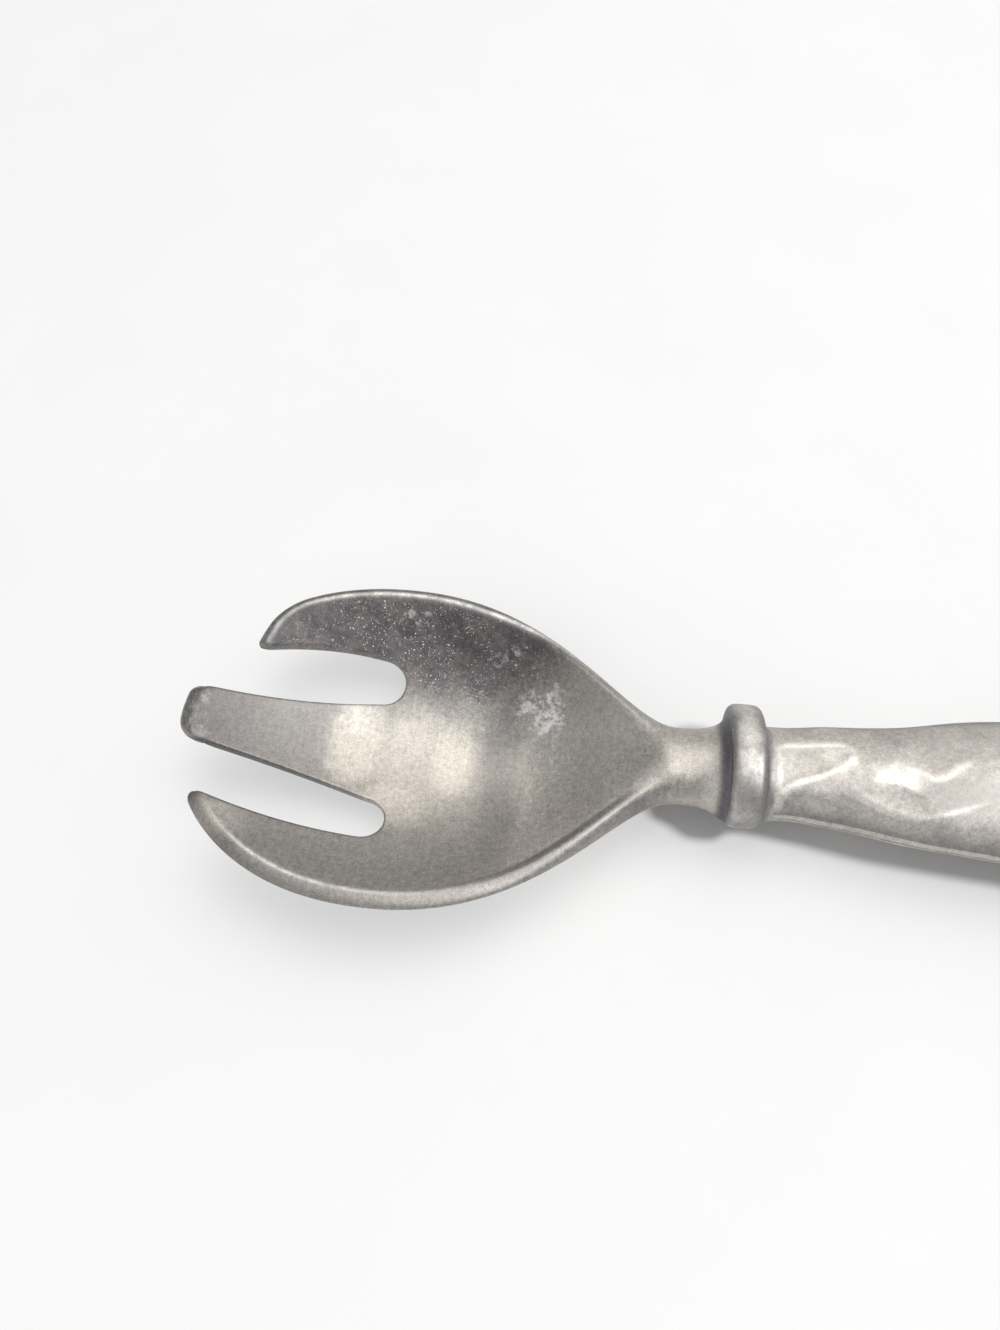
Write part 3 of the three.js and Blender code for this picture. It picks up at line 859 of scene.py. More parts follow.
    def faces_of(self, plan: np.ndarray, edge: np.ndarray) -> tuple[np.ndarray, np.ndarray]:
        """Heights of the upper and lower face over the neck axis.

        Args:
            plan: places as (minus reach, side).
            edge: their distance to the outer edge.

        Returns:
            The two heights.
        """
        reach = -plan[:, 0]
        side = plan[:, 1]
        half = np.maximum(self.half_width(reach), 1e-3)
        neck = np.where(reach < self.neck_reach, half, self.neck_width / 2)
        blend = smoothstep(reach, self.neck_reach, self.deepest_reach)
        inside = 1.0 - np.minimum(1.0, edge / (neck + (self.lip_width - neck) * blend))
        rounded = np.sqrt(1.0 - inside * inside)
        rim = self.rim_rise * np.maximum(0.0, reach - self.neck_reach) / (self.reach - self.neck_reach)
        neck_high = neck * OVAL_FLATNESS
        crown = (neck_high + (self.lip_crown - neck_high) * blend) * rounded
        under = (neck_high + (self.lip_edge - neck_high) * blend) * rounded
        inner_end = self.reach - self.lip_width
        ahead = np.clip((reach - self.widest_reach) / (inner_end - self.widest_reach), 0.0, 1.0)
        front = (self.width / 2 - self.lip_width) * np.sqrt(1.0 - ahead ** self.front_fullness)
        inset = np.where(reach <= self.widest_reach, half - self.lip_width, front)
        inset = np.maximum(inset, self.least_inset)
        across = np.maximum(1.0 - (side / inset) ** 2, -1.0)
        dish = soft_positive(across, 2 * self.crest_soft / np.maximum(inset, self.crest_inset))
        hollow = self.depth_share(reach, self.hollow_start, inner_end, self.hollow_power)
        belly = self.depth_share(reach, self.neck_reach, self.reach, self.belly_power)
        bulge = np.maximum(0.0, 1.0 - (side / half) ** 2) ** self.under_fullness
        top = rim + crown - (self.depth + self.lip_crown) * hollow * dish
        bottom = rim - under - (self.depth + self.wall - self.lip_edge) * belly * bulge
        return top, np.maximum(bottom, -self.datum.axis_height)

    def _triangles(self, loop: np.ndarray) -> tuple[np.ndarray, list]:
        """Fills the plan with triangles, in rings along its edge and on a grid within.

        Args:
            loop: the closed plan.

        Returns:
            The places in plan, those of the loop first, and the triangles between them.
        """
        after = np.roll(loop, -1, axis=0)
        tangent = after - np.roll(loop, 1, axis=0)
        inward = np.stack([-tangent[:, 1], tangent[:, 0]], axis=1)
        inward /= np.linalg.norm(inward, axis=1)[:, None]
        points = [loop]
        for ring in self.rings:
            moved = loop + ring * inward
            points.append(moved[distance_to(moved, loop, after) > ring * self.ring_keep])
        lines = [np.arange(loop[:, k].min(), loop[:, k].max(), self.grid_pitch) for k in range(2)]
        grid = np.stack(np.meshgrid(*lines, indexing="ij"), -1).reshape(-1, 2)
        grid = grid[self.half_width(-grid[:, 0]) > np.abs(grid[:, 1])]
        points.append(grid[distance_to(grid, loop, after) > self.rings[-1] + self.grid_margin])
        flat = [Vector(p) for p in np.vstack(points)]
        placed, _, faces, *_ = delaunay_2d_cdt(flat, [], [list(range(len(loop)))], 1, 1e-7, False)
        flat = np.array([p[:] for p in placed])
        kept = inside_loop(flat[np.array(faces)].mean(1), loop)
        return flat, [face for face, inside in zip(faces, kept) if inside]

    def _closed(self, faces: list, border: int, count: int, thick: np.ndarray) -> list:
        """Joins the upper face to its lower copy along the plan's edge.

        Args:
            faces: triangles of the upper face.
            border: how many points lie on the plan's edge.
            count: how many points a face has.
            thick: thickness at each point.

        Returns:
            The faces of the closed solid, with a knife edge where it has no thickness.
        """
        lower = np.arange(count) + count
        sharp = thick[:border] < self.knife_edge
        lower[:border] = np.where(sharp, np.arange(border), lower[:border])
        solid = list(faces)
        solid += [[int(lower[v]) for v in reversed(face)] for face in faces]
        for i in range(border):
            j = (i + 1) % border
            wall = list(dict.fromkeys([i, int(lower[i]), int(lower[j]), j]))
            if len(wall) > 2:
                solid.append(wall)
        return solid

    def build(self) -> bpy.types.Object:
        """Makes the head's mesh: two faces over one plan, joined by the walls of the slots.

        Returns:
            The head, with its distances to the crest of the lip and to the cut edges at its points.
        """
        loop, on_slot, on_edge = self.plan()
        after = np.roll(loop, -1, axis=0)
        flat, faces = self._triangles(loop)
        edge = distance_to(flat, loop[on_edge], after[on_edge])
        cut = distance_to(flat, loop[on_slot], after[on_slot])
        top, bottom = self.faces_of(flat, edge)
        thick = np.maximum(top - bottom, 0.0)
        round_off = np.minimum(self.cut_round, self.cut_round_share * thick)
        near = np.clip(1.0 - cut / np.maximum(round_off, 1e-6), 0.0, 1.0)
        drop = round_off * (1.0 - np.sqrt(1.0 - near * near))
        wave = np.array([noise.noise(Vector((*place * self.wave_scale, 0.0))) for place in flat])
        calm = smoothstep(edge, *self.calm_by_lip) * smoothstep(cut, *self.calm_by_cut)
        heights = (top - drop + self.unevenness * wave * calm, bottom + drop)

        count = len(flat)
        solid = self._closed(faces, len(loop), count, thick)
        x = self.datum.collar_x + flat[:, 0]
        places = np.concatenate([np.stack([x, flat[:, 1], self.datum.axis_height + height], axis=1)
                                 for height in heights])
        used, packed = np.unique(np.concatenate([np.array(f) for f in solid]), return_inverse=True)
        ends = np.cumsum([len(f) for f in solid])[:-1]
        made = mesh_object("server_head", places[used], [f.tolist() for f in np.split(packed, ends)])
        bowl = smoothstep(-flat[:, 0], self.neck_reach + self.bowl_margin, self.deepest_reach)
        carry(made, "crest", np.concatenate([edge - self.lip_width, np.full(count, self.off_crest)])[used])
        carry(made, "cut", np.concatenate([cut, cut])[used])
        carry(made, "bowl", np.concatenate([bowl, bowl])[used])
        return made

    def dress(self, made: bpy.types.Object, finish: TarnishedMetal, effects: SharedEffects) -> None:
        """Gives the head its finish and stands it for its CAD node."""
        made.data.materials.append(finish.make(self.datum, effects))
        seat(made, "head")


@dataclass
class Collar:
    """Ring between neck and handle: a rounded band between two hollow fillets, a little off centre."""

    datum: Datum
    width: float = 22.8
    off_centre: float = 1.2
    band_from: float = -3.7
    band_to: float = 2.5
    band_edge: float = 1.7
    band_crown: float = 0.06
    neck_fillet: float = 4.4
    handle_fillet: float = 1.7
    sweep_start: float = 1.1
    sweep_rise: float = 0.6
    sweep_foot: float = 9.9
    neck_half: float = 7.28
    mouth_half: float = 8.6
    feather: float = 0.015
    web_half: float = 2.2
    web_radius: float = 6.2
    hoop: float = 1.0
    slide_foot: float = 8.7
    slide_crown: float = 11.0
    segments: int = 160
    arc_steps: int = 12

    def profile(self) -> list[tuple[float, float]]:
        """Closed section of the ring as (radius, minus along) pairs, turning anticlockwise.

        Returns:
            The section's points.
        """
        crown = self.width / 2
        foot = crown - self.band_edge
        quarter = np.linspace(0.0, math.pi / 2, self.arc_steps)
        neck = self.neck_half + self.feather
        mouth = self.mouth_half
        neck_end = self.band_from - self.neck_fillet
        mouth_end = self.band_to + self.handle_fillet
        sweep = quadratic((neck_end, neck), (self.band_from - self.sweep_start, neck + self.sweep_rise),
                          (self.band_from, self.sweep_foot), self.arc_steps)
        line = [tuple(point) for point in sweep]
        line += [(self.band_from + self.band_edge * (1 - math.cos(a)), foot + self.band_edge * math.sin(a))
                 for a in quarter]
        line.append(((self.band_from + self.band_to) / 2, crown + self.band_crown))
        line += [(self.band_to - self.band_edge * (1 - math.cos(a)), foot + self.band_edge * math.sin(a))
                 for a in quarter[::-1]]
        line += [(mouth_end - self.handle_fillet * math.sin(a), mouth + (foot - mouth) * (1 - math.cos(a)))
                 for a in quarter[::-1][1:]]
        inner_mouth = self.mouth_half - self.feather
        inner_neck = self.neck_half + self.feather / 3
        line += [(mouth_end, inner_mouth), (self.web_half, inner_mouth), (self.web_half, self.web_radius),
                 (-self.web_half, self.web_radius), (-self.web_half, inner_neck), (neck_end, inner_neck)]
        return [(radius, -along) for along, radius in reversed(line)]

    def _sweep(self, metal: bpy.types.Material) -> bpy.types.NodeTree:
        """Builds the tree that carries the section round an oval.

        Args:
            metal: the ring's material.

        Returns:
            The tree.
        """
        inputs = {"Section": (GEOMETRY, None), "Hoop": (FLOAT, MM), "Segments": ("NodeSocketInt", 64),
                  "Flatness": (FLOAT, 1.0), "Foot": (FLOAT, 0.0), "Crown": (FLOAT, 1.0),
                  "Off Centre": (FLOAT, 0.0), "Centre": (VECTOR, None)}
        tree, s, source, target = new_group("oval_ring", "GeometryNodeTree", inputs, {"Ring": GEOMETRY})
        get = source.outputs
        section = s.add("GeometryNodeMeshToCurve", {"Mesh": get["Section"]}).outputs[0]
        round_path = {"Resolution": get["Segments"], "Radius": get["Hoop"]}
        hoop = s.add("GeometryNodeCurvePrimitiveCircle", round_path).outputs["Curve"]
        level = s.add("GeometryNodeSetCurveNormal", {"Curve": hoop}, mode="Z_UP").outputs[0]
        ring = s.add("GeometryNodeCurveToMesh", {"Curve": level, "Profile Curve": section}).outputs[0]
        upright = (0.0, math.pi / 2, 0.0)
        turned = s.add("GeometryNodeTransform", {"Geometry": ring, "Rotation": upright}).outputs[0]
        place = s.add("GeometryNodeInputPosition").outputs[0]
        radius = s.vector("LENGTH", s.vector("MULTIPLY", place, (0.0, 1.0, 1.0)))
        share = s.span(radius, get["Foot"], get["Crown"])
        slide = s.add("ShaderNodeCombineXYZ", {1: s.times(share, get["Off Centre"])}).outputs[0]
        moved = s.add("GeometryNodeSetPosition", {"Geometry": turned, "Offset": slide}).outputs[0]
        squash = s.add("ShaderNodeCombineXYZ", {0: 1.0, 1: 1.0, 2: get["Flatness"]}).outputs[0]
        seated = s.add("GeometryNodeTransform", {"Geometry": moved, "Scale": squash,
                                                 "Translation": get["Centre"]})
        s.end_geometry(target, seated.outputs[0], metal)
        return tree

    def build(self, metal: bpy.types.Material) -> bpy.types.Object:
        """Makes the ring by sweeping its section.

        Args:
            metal: the ring's material.

        Returns:
            The collar.
        """
        section = [(radius - self.hoop, minus_along, 0.0) for radius, minus_along in self.profile()]
        mesh = bpy.data.meshes.new("server_collar")
        edges = [(i, (i + 1) % len(section)) for i in range(len(section))]
        mesh.from_pydata([tuple(v * MM for v in p) for p in section], edges, [])
        made = bpy.data.objects.new("server_collar", mesh)
        bpy.context.scene.collection.objects.link(made)
        run_tree(made, self._sweep(metal), {
            "Hoop": self.hoop * MM, "Segments": self.segments, "Flatness": OVAL_FLATNESS,
            "Foot": self.slide_foot * MM, "Crown": self.slide_crown * MM,
            "Off Centre": self.off_centre * MM, "Centre": self.datum.at(0.0, 0.0) * MM,
        })
        settle(made)
        return made

    def dress(self, made: bpy.types.Object) -> None:
        """Stands the ring for its CAD node."""
        seat(made, "collar")


@dataclass(frozen=True)
class HammerMark:
    """One shallow scoop left by hammering, in plan."""

    run: float
    side: float
    length: float
    breadth: float
    turn: float
    depth: float


@dataclass(frozen=True)
class Crease:
    """Ridge left standing between hammer blows, as points of run, side and strength in plan."""

    points: tuple[tuple[float, float, float], ...]
    height: float
    width: float
    crest: float = 0.22

    def relief(self, plan: np.ndarray) -> np.ndarray:
        """Height of the ridge over the hammered face.

        Args:
            plan: places as run and side.

        Returns:
            One height for each place.
        """
        line = np.array(self.points, float)
        for _ in range(3):
            early = 0.75 * line[:-1] + 0.25 * line[1:]
            late = 0.25 * line[:-1] + 0.75 * line[1:]
            line = np.vstack([line[:1], np.stack([early, late], axis=1).reshape(-1, 3), line[-1:]])
        best = np.full(len(plan), 1e9)
        strength = np.zeros(len(plan))
        for start, end in zip(line[:-1], line[1:]):
            way = end[:2] - start[:2]
            t = np.clip((plan - start[:2]) @ way / max(way @ way, 1e-9), 0.0, 1.0)
            away = np.linalg.norm(plan - start[:2] - t[:, None] * way, axis=1)
            nearer = away < best
            best = np.where(nearer, away, best)
            strength = np.where(nearer, start[2] + t * (end[2] - start[2]), strength)
        away = np.sqrt(best ** 2 + self.crest ** 2) - self.crest
        return self.height * strength * np.exp(-away / self.width)


@dataclass(frozen=True)
class Wave:
    """Slow swell of the handle's outline."""

    run: float
    amount: float
    length: float


@dataclass
class Handle:
    """Hollow hammered handle in two half shells."""

    datum: Datum
    end: float = 178.45
    mouth_run: float = MOUTH_RUN
    tail_round: float = 15.4
    tail_flat: float = 0.3
    shell_wall: float = 1.5
    seam: float = 0.2
    seam_mark: float = 1.4
    arch: float = 1.2
    palm_drop: float = 0.32
    runs: tuple[float, ...] = (2.45, 4.95, 44.0, 98.0, 152.0, 178.5)
    widths: tuple[float, ...] = (17.2, 17.2, 26.2, 33.0, 28.0, 23.5)
    thicknesses: tuple[float, ...] = (12.04, 12.04, 13.55, 13.8, 11.6, 11.6)
    far_waves: tuple[Wave, ...] = (Wave(14.0, 0.5, 6.0), Wave(29.0, -0.4, 6.0))
    near_waves: tuple[Wave, ...] = (Wave(7.0, -0.35, 4.0), Wave(27.0, 0.5, 9.0))
    ridge_soft: float = 0.1
    clear_of_seam: Span = (0.04, 0.4)
    fade_from: float = 4.3
    fade_to: float = 7.5
    seen_run: float = 52.0
    seen_stations: int = 190
    hidden_stations: int = 125
    tail_stations: int = 40
    around: int = 140
    seed: int = 11
    seen_marks: tuple[HammerMark, ...] = (
        HammerMark(9.6, 1.0, 9.5, 3.6, 22.0, 0.35),
        HammerMark(38.0, 8.5, 13.0, 6.2, 16.0, 0.7),
        HammerMark(24.0, 9.0, 11.0, 4.6, 4.0, 0.35),
        HammerMark(18.0, -10.6, 14.0, 4.6, -14.0, 0.4),
        HammerMark(23.2, -5.8, 6.4, 2.9, -12.0, 0.34),
        HammerMark(43.0, -6.0, 13.0, 6.5, 20.0, 0.3),
    )
    creases: tuple[Crease, ...] = (
        Crease(((4.4, -7.4, 0.9), (4.9, -5.7, 1.0), (7.4, -3.9, 0.9), (11.8, -2.2, 0.6), (14.7, -0.5, 0.8),
                (16.8, 1.2, 1.0), (17.2, 2.9, 0.9), (15.7, 4.3, 0.9), (11.8, 3.9, 0.85), (5.0, 2.9, 0.7)),
               0.17, 0.8),
        Crease(((19.9, -3.7, 0.6), (20.7, -1.2, 1.0), (22.4, 0.5, 0.6), (24.6, 1.0, 0.3)), 0.13, 0.9),
        Crease(((22.4, 0.5, 0.3), (25.5, 0.2, 0.6), (28.1, -0.9, 0.9), (29.7, -1.6, 1.0), (32.0, -1.1, 0.8),
                (34.3, 0.8, 0.9), (36.6, 2.5, 0.7), (40.6, 5.8, 0.4)), 0.15, 1.1),
        Crease(((18.4, -5.2, 0.3), (21.0, -6.2, 0.6), (24.0, -7.5, 0.7), (27.5, -8.2, 0.8), (29.6, -8.2, 0.9),
                (32.3, -7.5, 1.0), (34.1, -6.8, 0.8), (35.9, -6.0, 0.6), (40.0, -4.6, 0.3)), 0.15, 1.0),
    )
    hidden_rows: int = 8
    under_rows: int = 3
    row_from: float = 54.0
    row_pitch: float = 14.5
    lane_share: float = 0.62
    run_stray: float = 2.5
    side_stray: float = 1.8
    mark_lengths: Span = (8.5, 13.0)
    mark_breadths: Span = (5.0, 7.5)
    mark_turns: Span = (-35.0, 35.0)
    mark_depths: Span = (0.35, 0.75)

    def guided(self, values: tuple[float, ...], run: np.ndarray) -> np.ndarray:
        """Smooth value along the handle between its named sections, with flat ends.

        Args:
            values: the value at each section.
            run: where it is wanted.

        Returns:
            The value at each run.
        """
        runs = np.array(self.runs)
        given = np.array(values)
        slope = np.zeros(len(runs))
        slope[2:-2] = (given[3:-1] - given[1:-3]) / (runs[3:-1] - runs[1:-3])
        i = np.clip(np.searchsorted(runs, run, side="left") - 1, 0, len(runs) - 2)
        length = runs[i + 1] - runs[i]
        t = (run - runs[i]) / length
        bend = t * t * (3.0 - 2.0 * t)
        leave = t * (1.0 - t) ** 2 * length
        arrive = t * t * (t - 1.0) * length
        return given[i] + (given[i + 1] - given[i]) * bend + slope[i] * leave + slope[i + 1] * arrive

    def middles(self) -> tuple[float, ...]:
        """Height of each section's middle over the neck axis."""
        tail = self.thicknesses[-1] / 2 - self.tail_flat - self.datum.axis_height
        return (0.0, 0.0, self.arch, tail * self.palm_drop, tail, tail)

    def marks(self, shell: Shell) -> list[HammerMark]:
        """Hammer marks of one shell: those in the photograph's view first, then staggered rows.

        Args:
            shell: which half.

        Returns:
            The marks.
        """
        draw = random.Random(self.seed + shell.value)
        found = list(self.seen_marks) if shell is Shell.UPPER else []
        first = 0 if shell is Shell.UPPER else -self.under_rows
        for row in range(first, self.hidden_rows):
            for lane in (-1, 0, 1):
                run = self.row_from + self.row_pitch * (row + 0.5 * (lane % 2))
                run += draw.uniform(-self.run_stray, self.run_stray)
                half = float(self.guided(self.widths, np.array([run]))[0]) / 2
                side = self.lane_share * half * lane + draw.uniform(-self.side_stray, self.side_stray)
                spans = (self.mark_lengths, self.mark_breadths, self.mark_turns, self.mark_depths)
                found.append(HammerMark(run, side, *(draw.uniform(*span) for span in spans)))
        return found

    def mark_group(self) -> bpy.types.NodeTree:
        """Geometry group of one hammer mark.

        Returns:
            The group: how deep the mark's scoop runs below the surface, negative outside it.
        """
        inputs = {"Centre": (VECTOR, None), "Size": (VECTOR, (1.0, 1.0, 1.0)), "Turn": (FLOAT, 0.0),
                  "Depth": (FLOAT, 0.0)}
        tree, s, source, target = new_group("hammer_mark", "GeometryNodeTree", inputs, {"Depth": FLOAT})
        get = source.outputs
        place = s.add("GeometryNodeInputPosition").outputs[0]
        away = s.vector("MULTIPLY", s.vector("SUBTRACT", place, get["Centre"]), (1.0, 1.0, 0.0))
        turned = s.add("ShaderNodeVectorRotate", {"Vector": away, "Angle": get["Turn"]},
                       rotation_type="Z_AXIS").outputs[0]
        ratio = s.vector("DIVIDE", turned, get["Size"])
        scoop = s.math("SUBTRACT", 1.0, s.vector("DOT_PRODUCT", ratio, ratio))
        s.feed(target.inputs["Depth"], s.times(scoop, get["Depth"]))
        return tree

    def _hammering(self, shell: Shell, mark: bpy.types.NodeTree,
                   metal: bpy.types.Material) -> bpy.types.NodeTree:
        """Builds the tree that sinks every mark of a shell into its smooth form.

        Args:
            shell: which half.
            mark: the group of one mark.
            metal: the shell's material.

        Returns:
            The tree.
        """
        inputs = {"Shell": (GEOMETRY, None), "Ridge Softness": (FLOAT, 0.0001)}
        name = "hammered_" + shell.name.lower()
        tree, s, source, target = new_group(name, "GeometryNodeTree", inputs, {"Shell": GEOMETRY})
        get = source.outputs
        deep: object = 0.0
        for one in self.marks(shell):
            centre = self.datum.at(-one.run, one.side) * MM
            feeds = {"Centre": tuple(centre), "Size": (one.length * MM, one.breadth * MM, 1.0),
                     "Turn": -math.radians(one.turn), "Depth": one.depth * MM}
            node = s.add("GeometryNodeGroup", None, node_tree=mark)
            for key, value in feeds.items():
                s.feed(node.inputs[key], value)
            deep = s.math("SMOOTH_MAX", deep, node.outputs[0], get["Ridge Softness"])
        kind = "GeometryNodeInputNamedAttribute"
        loose, ridge = (s.add(kind, {"Name": carried}, data_type="FLOAT").outputs[0]
                        for carried in ("loose", "ridge"))
        raised = s.math("SUBTRACT", s.times(ridge, MM), s.times(deep, loose))
        sunk = s.scaled(s.add("GeometryNodeInputNormal").outputs[0], raised)
        moved = s.add("GeometryNodeSetPosition", {"Geometry": get["Shell"], "Offset": sunk})
        s.end_geometry(target, moved.outputs[0], metal)
        return tree

    def _skin(self, shell: Shell) -> tuple[np.ndarray, list, dict[str, np.ndarray]]:
        """Smooth outer face of one shell.

        Args:
            shell: which half.

        Returns:
            Points in the part's frame, faces turning outwards, and the numbers that the points carry: how
            freely they take the hammering, how high a ridge stands there, and their height over the seam.
        """
        tail_start = self.end - self.tail_round
        straight = np.concatenate([
            np.linspace(self.mouth_run, self.seen_run, self.seen_stations, endpoint=False),
            np.linspace(self.seen_run, tail_start, self.hidden_stations),
        ])
        angle = np.linspace(0.0, math.pi / 2, self.tail_stations)[1:]
        run = np.concatenate([straight, tail_start + self.tail_round * np.sin(angle)])
        shrink = np.concatenate([np.ones(len(straight)), np.cos(angle)])
        shrink[-1] = 1e-3
        half = self.guided(self.widths, run) / 2 * shrink
        thick = self.guided(self.thicknesses, run) / 2 * shrink
        middle = self.guided(self.middles(), run)
        turn = np.linspace(0.0, math.pi, self.around)
        gap = shell.value * self.seam / 2
        outward = np.cos(turn)
        y = half[:, None] * outward[None]
        for waves, way in ((self.far_waves, 1.0), (self.near_waves, -1.0)):
            swell = sum(wave.amount * np.exp(-((run - wave.run) / wave.length) ** 2) for wave in waves)
            y = y + way * swell[:, None] * np.maximum(way * outward, 0.0)[None] ** 2
        rise = np.maximum(thick - self.seam / 2, 0.0)[:, None] * np.sin(turn)[None]
        z = np.maximum(middle[:, None] + gap + shell.value * rise, -self.datum.axis_height)
        x = np.broadcast_to(run[:, None], y.shape)
        points = np.stack([self.datum.collar_x + x, y, self.datum.axis_height + z], axis=-1).reshape(-1, 3)
        faces = []
        columns = self.around
        for i in range(len(run) - 1):
            for j in range(columns - 1):
                a = i * columns + j
                quad = [a, a + 1, a + columns + 1, a + columns]
                faces.append(quad if shell is Shell.UPPER else quad[::-1])
        clear = np.broadcast_to(smoothstep(np.sin(turn), *self.clear_of_seam)[None], y.shape)
        loose = clear * smoothstep(run, self.fade_from, self.fade_to)[:, None]
        ridge = np.zeros(len(points))
        if shell is Shell.UPPER:
            plan = np.stack([x, y], axis=-1).reshape(-1, 2)
            for crease in self.creases:
                ridge = np.maximum(ridge, crease.relief(plan) * clear.reshape(-1))
        seam = np.broadcast_to((z - middle[:, None]) - self.seam_mark, y.shape).reshape(-1)
        return points, faces, {"loose": loose.reshape(-1), "ridge": ridge, "seam": seam}

    def build(self, shell: Shell, mark: bpy.types.NodeTree, metal: bpy.types.Material) -> bpy.types.Object:
        """Makes one shell: its smooth skin, hammered, then given its wall.

        Args:
            shell: which half.
            mark: the group of one hammer mark.
            metal: the shell's material.

        Returns:
            The shell.
        """
        points, faces, carried = self._skin(shell)
        made = mesh_object("server_handle_" + shell.name.lower(), points, faces)
        for name, values in carried.items():
            carry(made, name, values)
        run_tree(made, self._hammering(shell, mark, metal), {"Ridge Softness": self.ridge_soft * MM})
        wall = made.modifiers.new("wall", "SOLIDIFY")
        wall.thickness = self.shell_wall * MM
        wall.offset = -1.0
        settle(made)
        return made

    def dress(self, made: bpy.types.Object, shell: Shell) -> None:
        """Stands one shell for its CAD node."""
        seat(made, "handle_%s_shell" % shell.name.lower())


@dataclass(frozen=True)
class Crust:
    """Patch of mineral deposit: its middle, its half lengths, its strength and how far it has worn away."""

    reach: float
    side: float
    length: float
    breadth: float
    strength: float
    worn: float


@dataclass(frozen=True)
class Specks:
    """One layer of mineral specks: the pitch of their cells, how many hold one, and its width."""

    pitch: float
    amount: float
    width: float


@dataclass(frozen=True)
class TarnishedMetal:
    """Finish of the head: brushed cast metal, dull and spotted, with the polishing of use in the bowl's
    middle that also paints the sheen of the light's reflection there, painted light and shade across the
    throat, and painted highlights and light along the lip and the slots' far walls.
    """

    polish_and_sheen_tone: Colour = (0.455, 0.428, 0.387)
    # painted light on the throat's near side and painted shade on its far side
    throat_near_lit: Colour = (0.70, 0.668, 0.625)
    throat_far_shaded: Colour = (0.30, 0.288, 0.27)
    neck_dull: Colour = (0.37, 0.352, 0.33)
    bowl_dull: Colour = (0.375, 0.358, 0.333)
    bowl_dim: Colour = (0.25, 0.24, 0.226)
    tine_dull: Colour = (0.212, 0.204, 0.198)
    tip_dull: Colour = (0.165, 0.16, 0.157)
    # tones of the crest line: wear and a painted highlight, brightest on the far side
    worn_edge_highlight: Colour = (0.66, 0.64, 0.61)
    far_edge_highlight: Colour = (0.92, 0.90, 0.87)
    # painted light for edges and walls that face dark surroundings
    painted_edge_light: Colour = (0.36, 0.345, 0.325)
    tarnish: Colour = (0.095, 0.092, 0.10)
    warm_tarnish: Colour = (0.135, 0.124, 0.118)
    mineral: Colour = (0.66, 0.65, 0.66)
    smooth_roughness: float = 0.36
    dull_roughness: float = 0.5
    tarnish_roughness: float = 0.58
    mineral_roughness: float = 0.8
    mineral_cover: float = 0.85
    grain_size: float = 0.25
    grain_shade: Span = (0.6, 1.4)
    grain_rough: Span = (-0.05, 0.07)
    grain_depth: float = 0.024
    brush_size: float = 0.16
    brush_stretch: tuple[float, float, float] = (1.0, 26.0, 26.0)
    brush_shade: Span = (0.9, 1.1)
    brush_depth: float = 0.006
    mineral_depth: float = 0.03

    throat_light_across: Span = (-14.0, 12.0)
    throat_to_bowl: Span = (34.0, 50.0)
    bowl_to_neck: Span = (24.0, 14.0)
    bowl_to_tines: Span = (50.0, 90.0)
    tines_to_tips: Span = (86.0, 99.0)
    # polishing from use that also paints the sheen of the light's reflection: the bowl's middle, the neck and
    # the near tine's tip
    polish_and_sheen_spots: tuple[Spot, ...] = (
        Spot(58.5, -1.5, -5.0, 9.0, 10.0, 30.0, 0.32, 0.45, 3.0, 0.6),
        Spot(70.0, 0.8, -3.0, 5.2, 8.0, 30.0, 0.45, 0.5, 3.0, 0.9),
        Spot(61.5, -9.6, -2.0, 6.0, 4.6, 30.0, 0.45, 0.45, 3.0),
        Spot(53.0, -0.5, -5.0, 4.2, 7.0, 30.0, 0.5, 0.45, 3.0),
        Spot(9.0, 0.0, 4.0, 6.0, 9.0, 9.0, 0.35, 0.15, 2.0, 0.4),
        Spot(90.5, -18.5, 0.0, 5.0, 3.5, 30.0, 0.6, 0.5, 3.0, 0.45),
    )
    dimmed: Spot = Spot(43.6, -2.5, -5.0, 3.6, 14.0, 30.0, 0.7, 0.4, 3.0, 0.85)
    smudge: Spot = Spot(44.6, 6.4, -5.0, 3.8, 4.4, 30.0, 0.6, 0.8, 2.5, 0.4)

    stain_corner: Span = (46.5, 9.6)
    stain_forward: float = 0.25
    stain_forward_most: float = 1.0
    stain_back: float = -0.43
    stain_rags: Cloud = Cloud(0.22, 6.0, 0.66)
    stain_ragged: float = 11.0
    stain_flecks: Cloud = Cloud(1.7, 3.0, 0.62)
    stain_flecked: float = 9.0
    stain_edge: Span = (-4.5, 9.0)
    stain_clouds: Cloud = Cloud(0.16, 5.0, 0.6, (0.34, 0.66))
    stain_depth: Span = (0.8, 1.0)
    stain_warmth: Cloud = Cloud(0.28, 5.0, 0.65, (0.42, 0.66))

    far_side: Span = (6.0, 14.0)
    # on the far side the crest line moves outwards to where its painted highlight falls
    line_shift: Ramp = (50.0, 34.0, 1.1, 2.0)
    line_width: Ramp = (6.0, 14.0, 0.34, 0.5)
    line_broken: float = 0.4
    line_grain: float = 3.2
    line_near_start: Ramp = (22.0, 42.0, 0.2, 1.0)
    line_far_start: Ramp = (24.0, 30.0, 0.2, 1.0)
    line_end: Span = (94.0, 80.0)
    line_strength: float = 0.86
    # painted light on the outer rim of the far side and of the tip
    rim: Span = (-1.7, -2.4)
    rim_far: Ramp = (4.0, 10.0, 0.0, 0.6)
    rim_tip: Ramp = (96.5, 98.5, 0.0, 0.7)
    shelter: Span = (1.2, 0.4)
    shelter_front: Span = (54.0, 34.0)
    shelter_back: Span = (12.0, 20.0)
    shelter_near: Span = (-4.0, -9.0)
    shelter_strength: float = 0.6

    cut_width: float = 0.3
    cut_broken: float = 0.3
    cut_end: Span = (99.0, 96.5)
    cut_far: Span = (11.0, 14.0)
    cut_near_strength: Ramp = (66.0, 84.0, 0.15, 0.55)
    cut_far_strength: float = 0.8

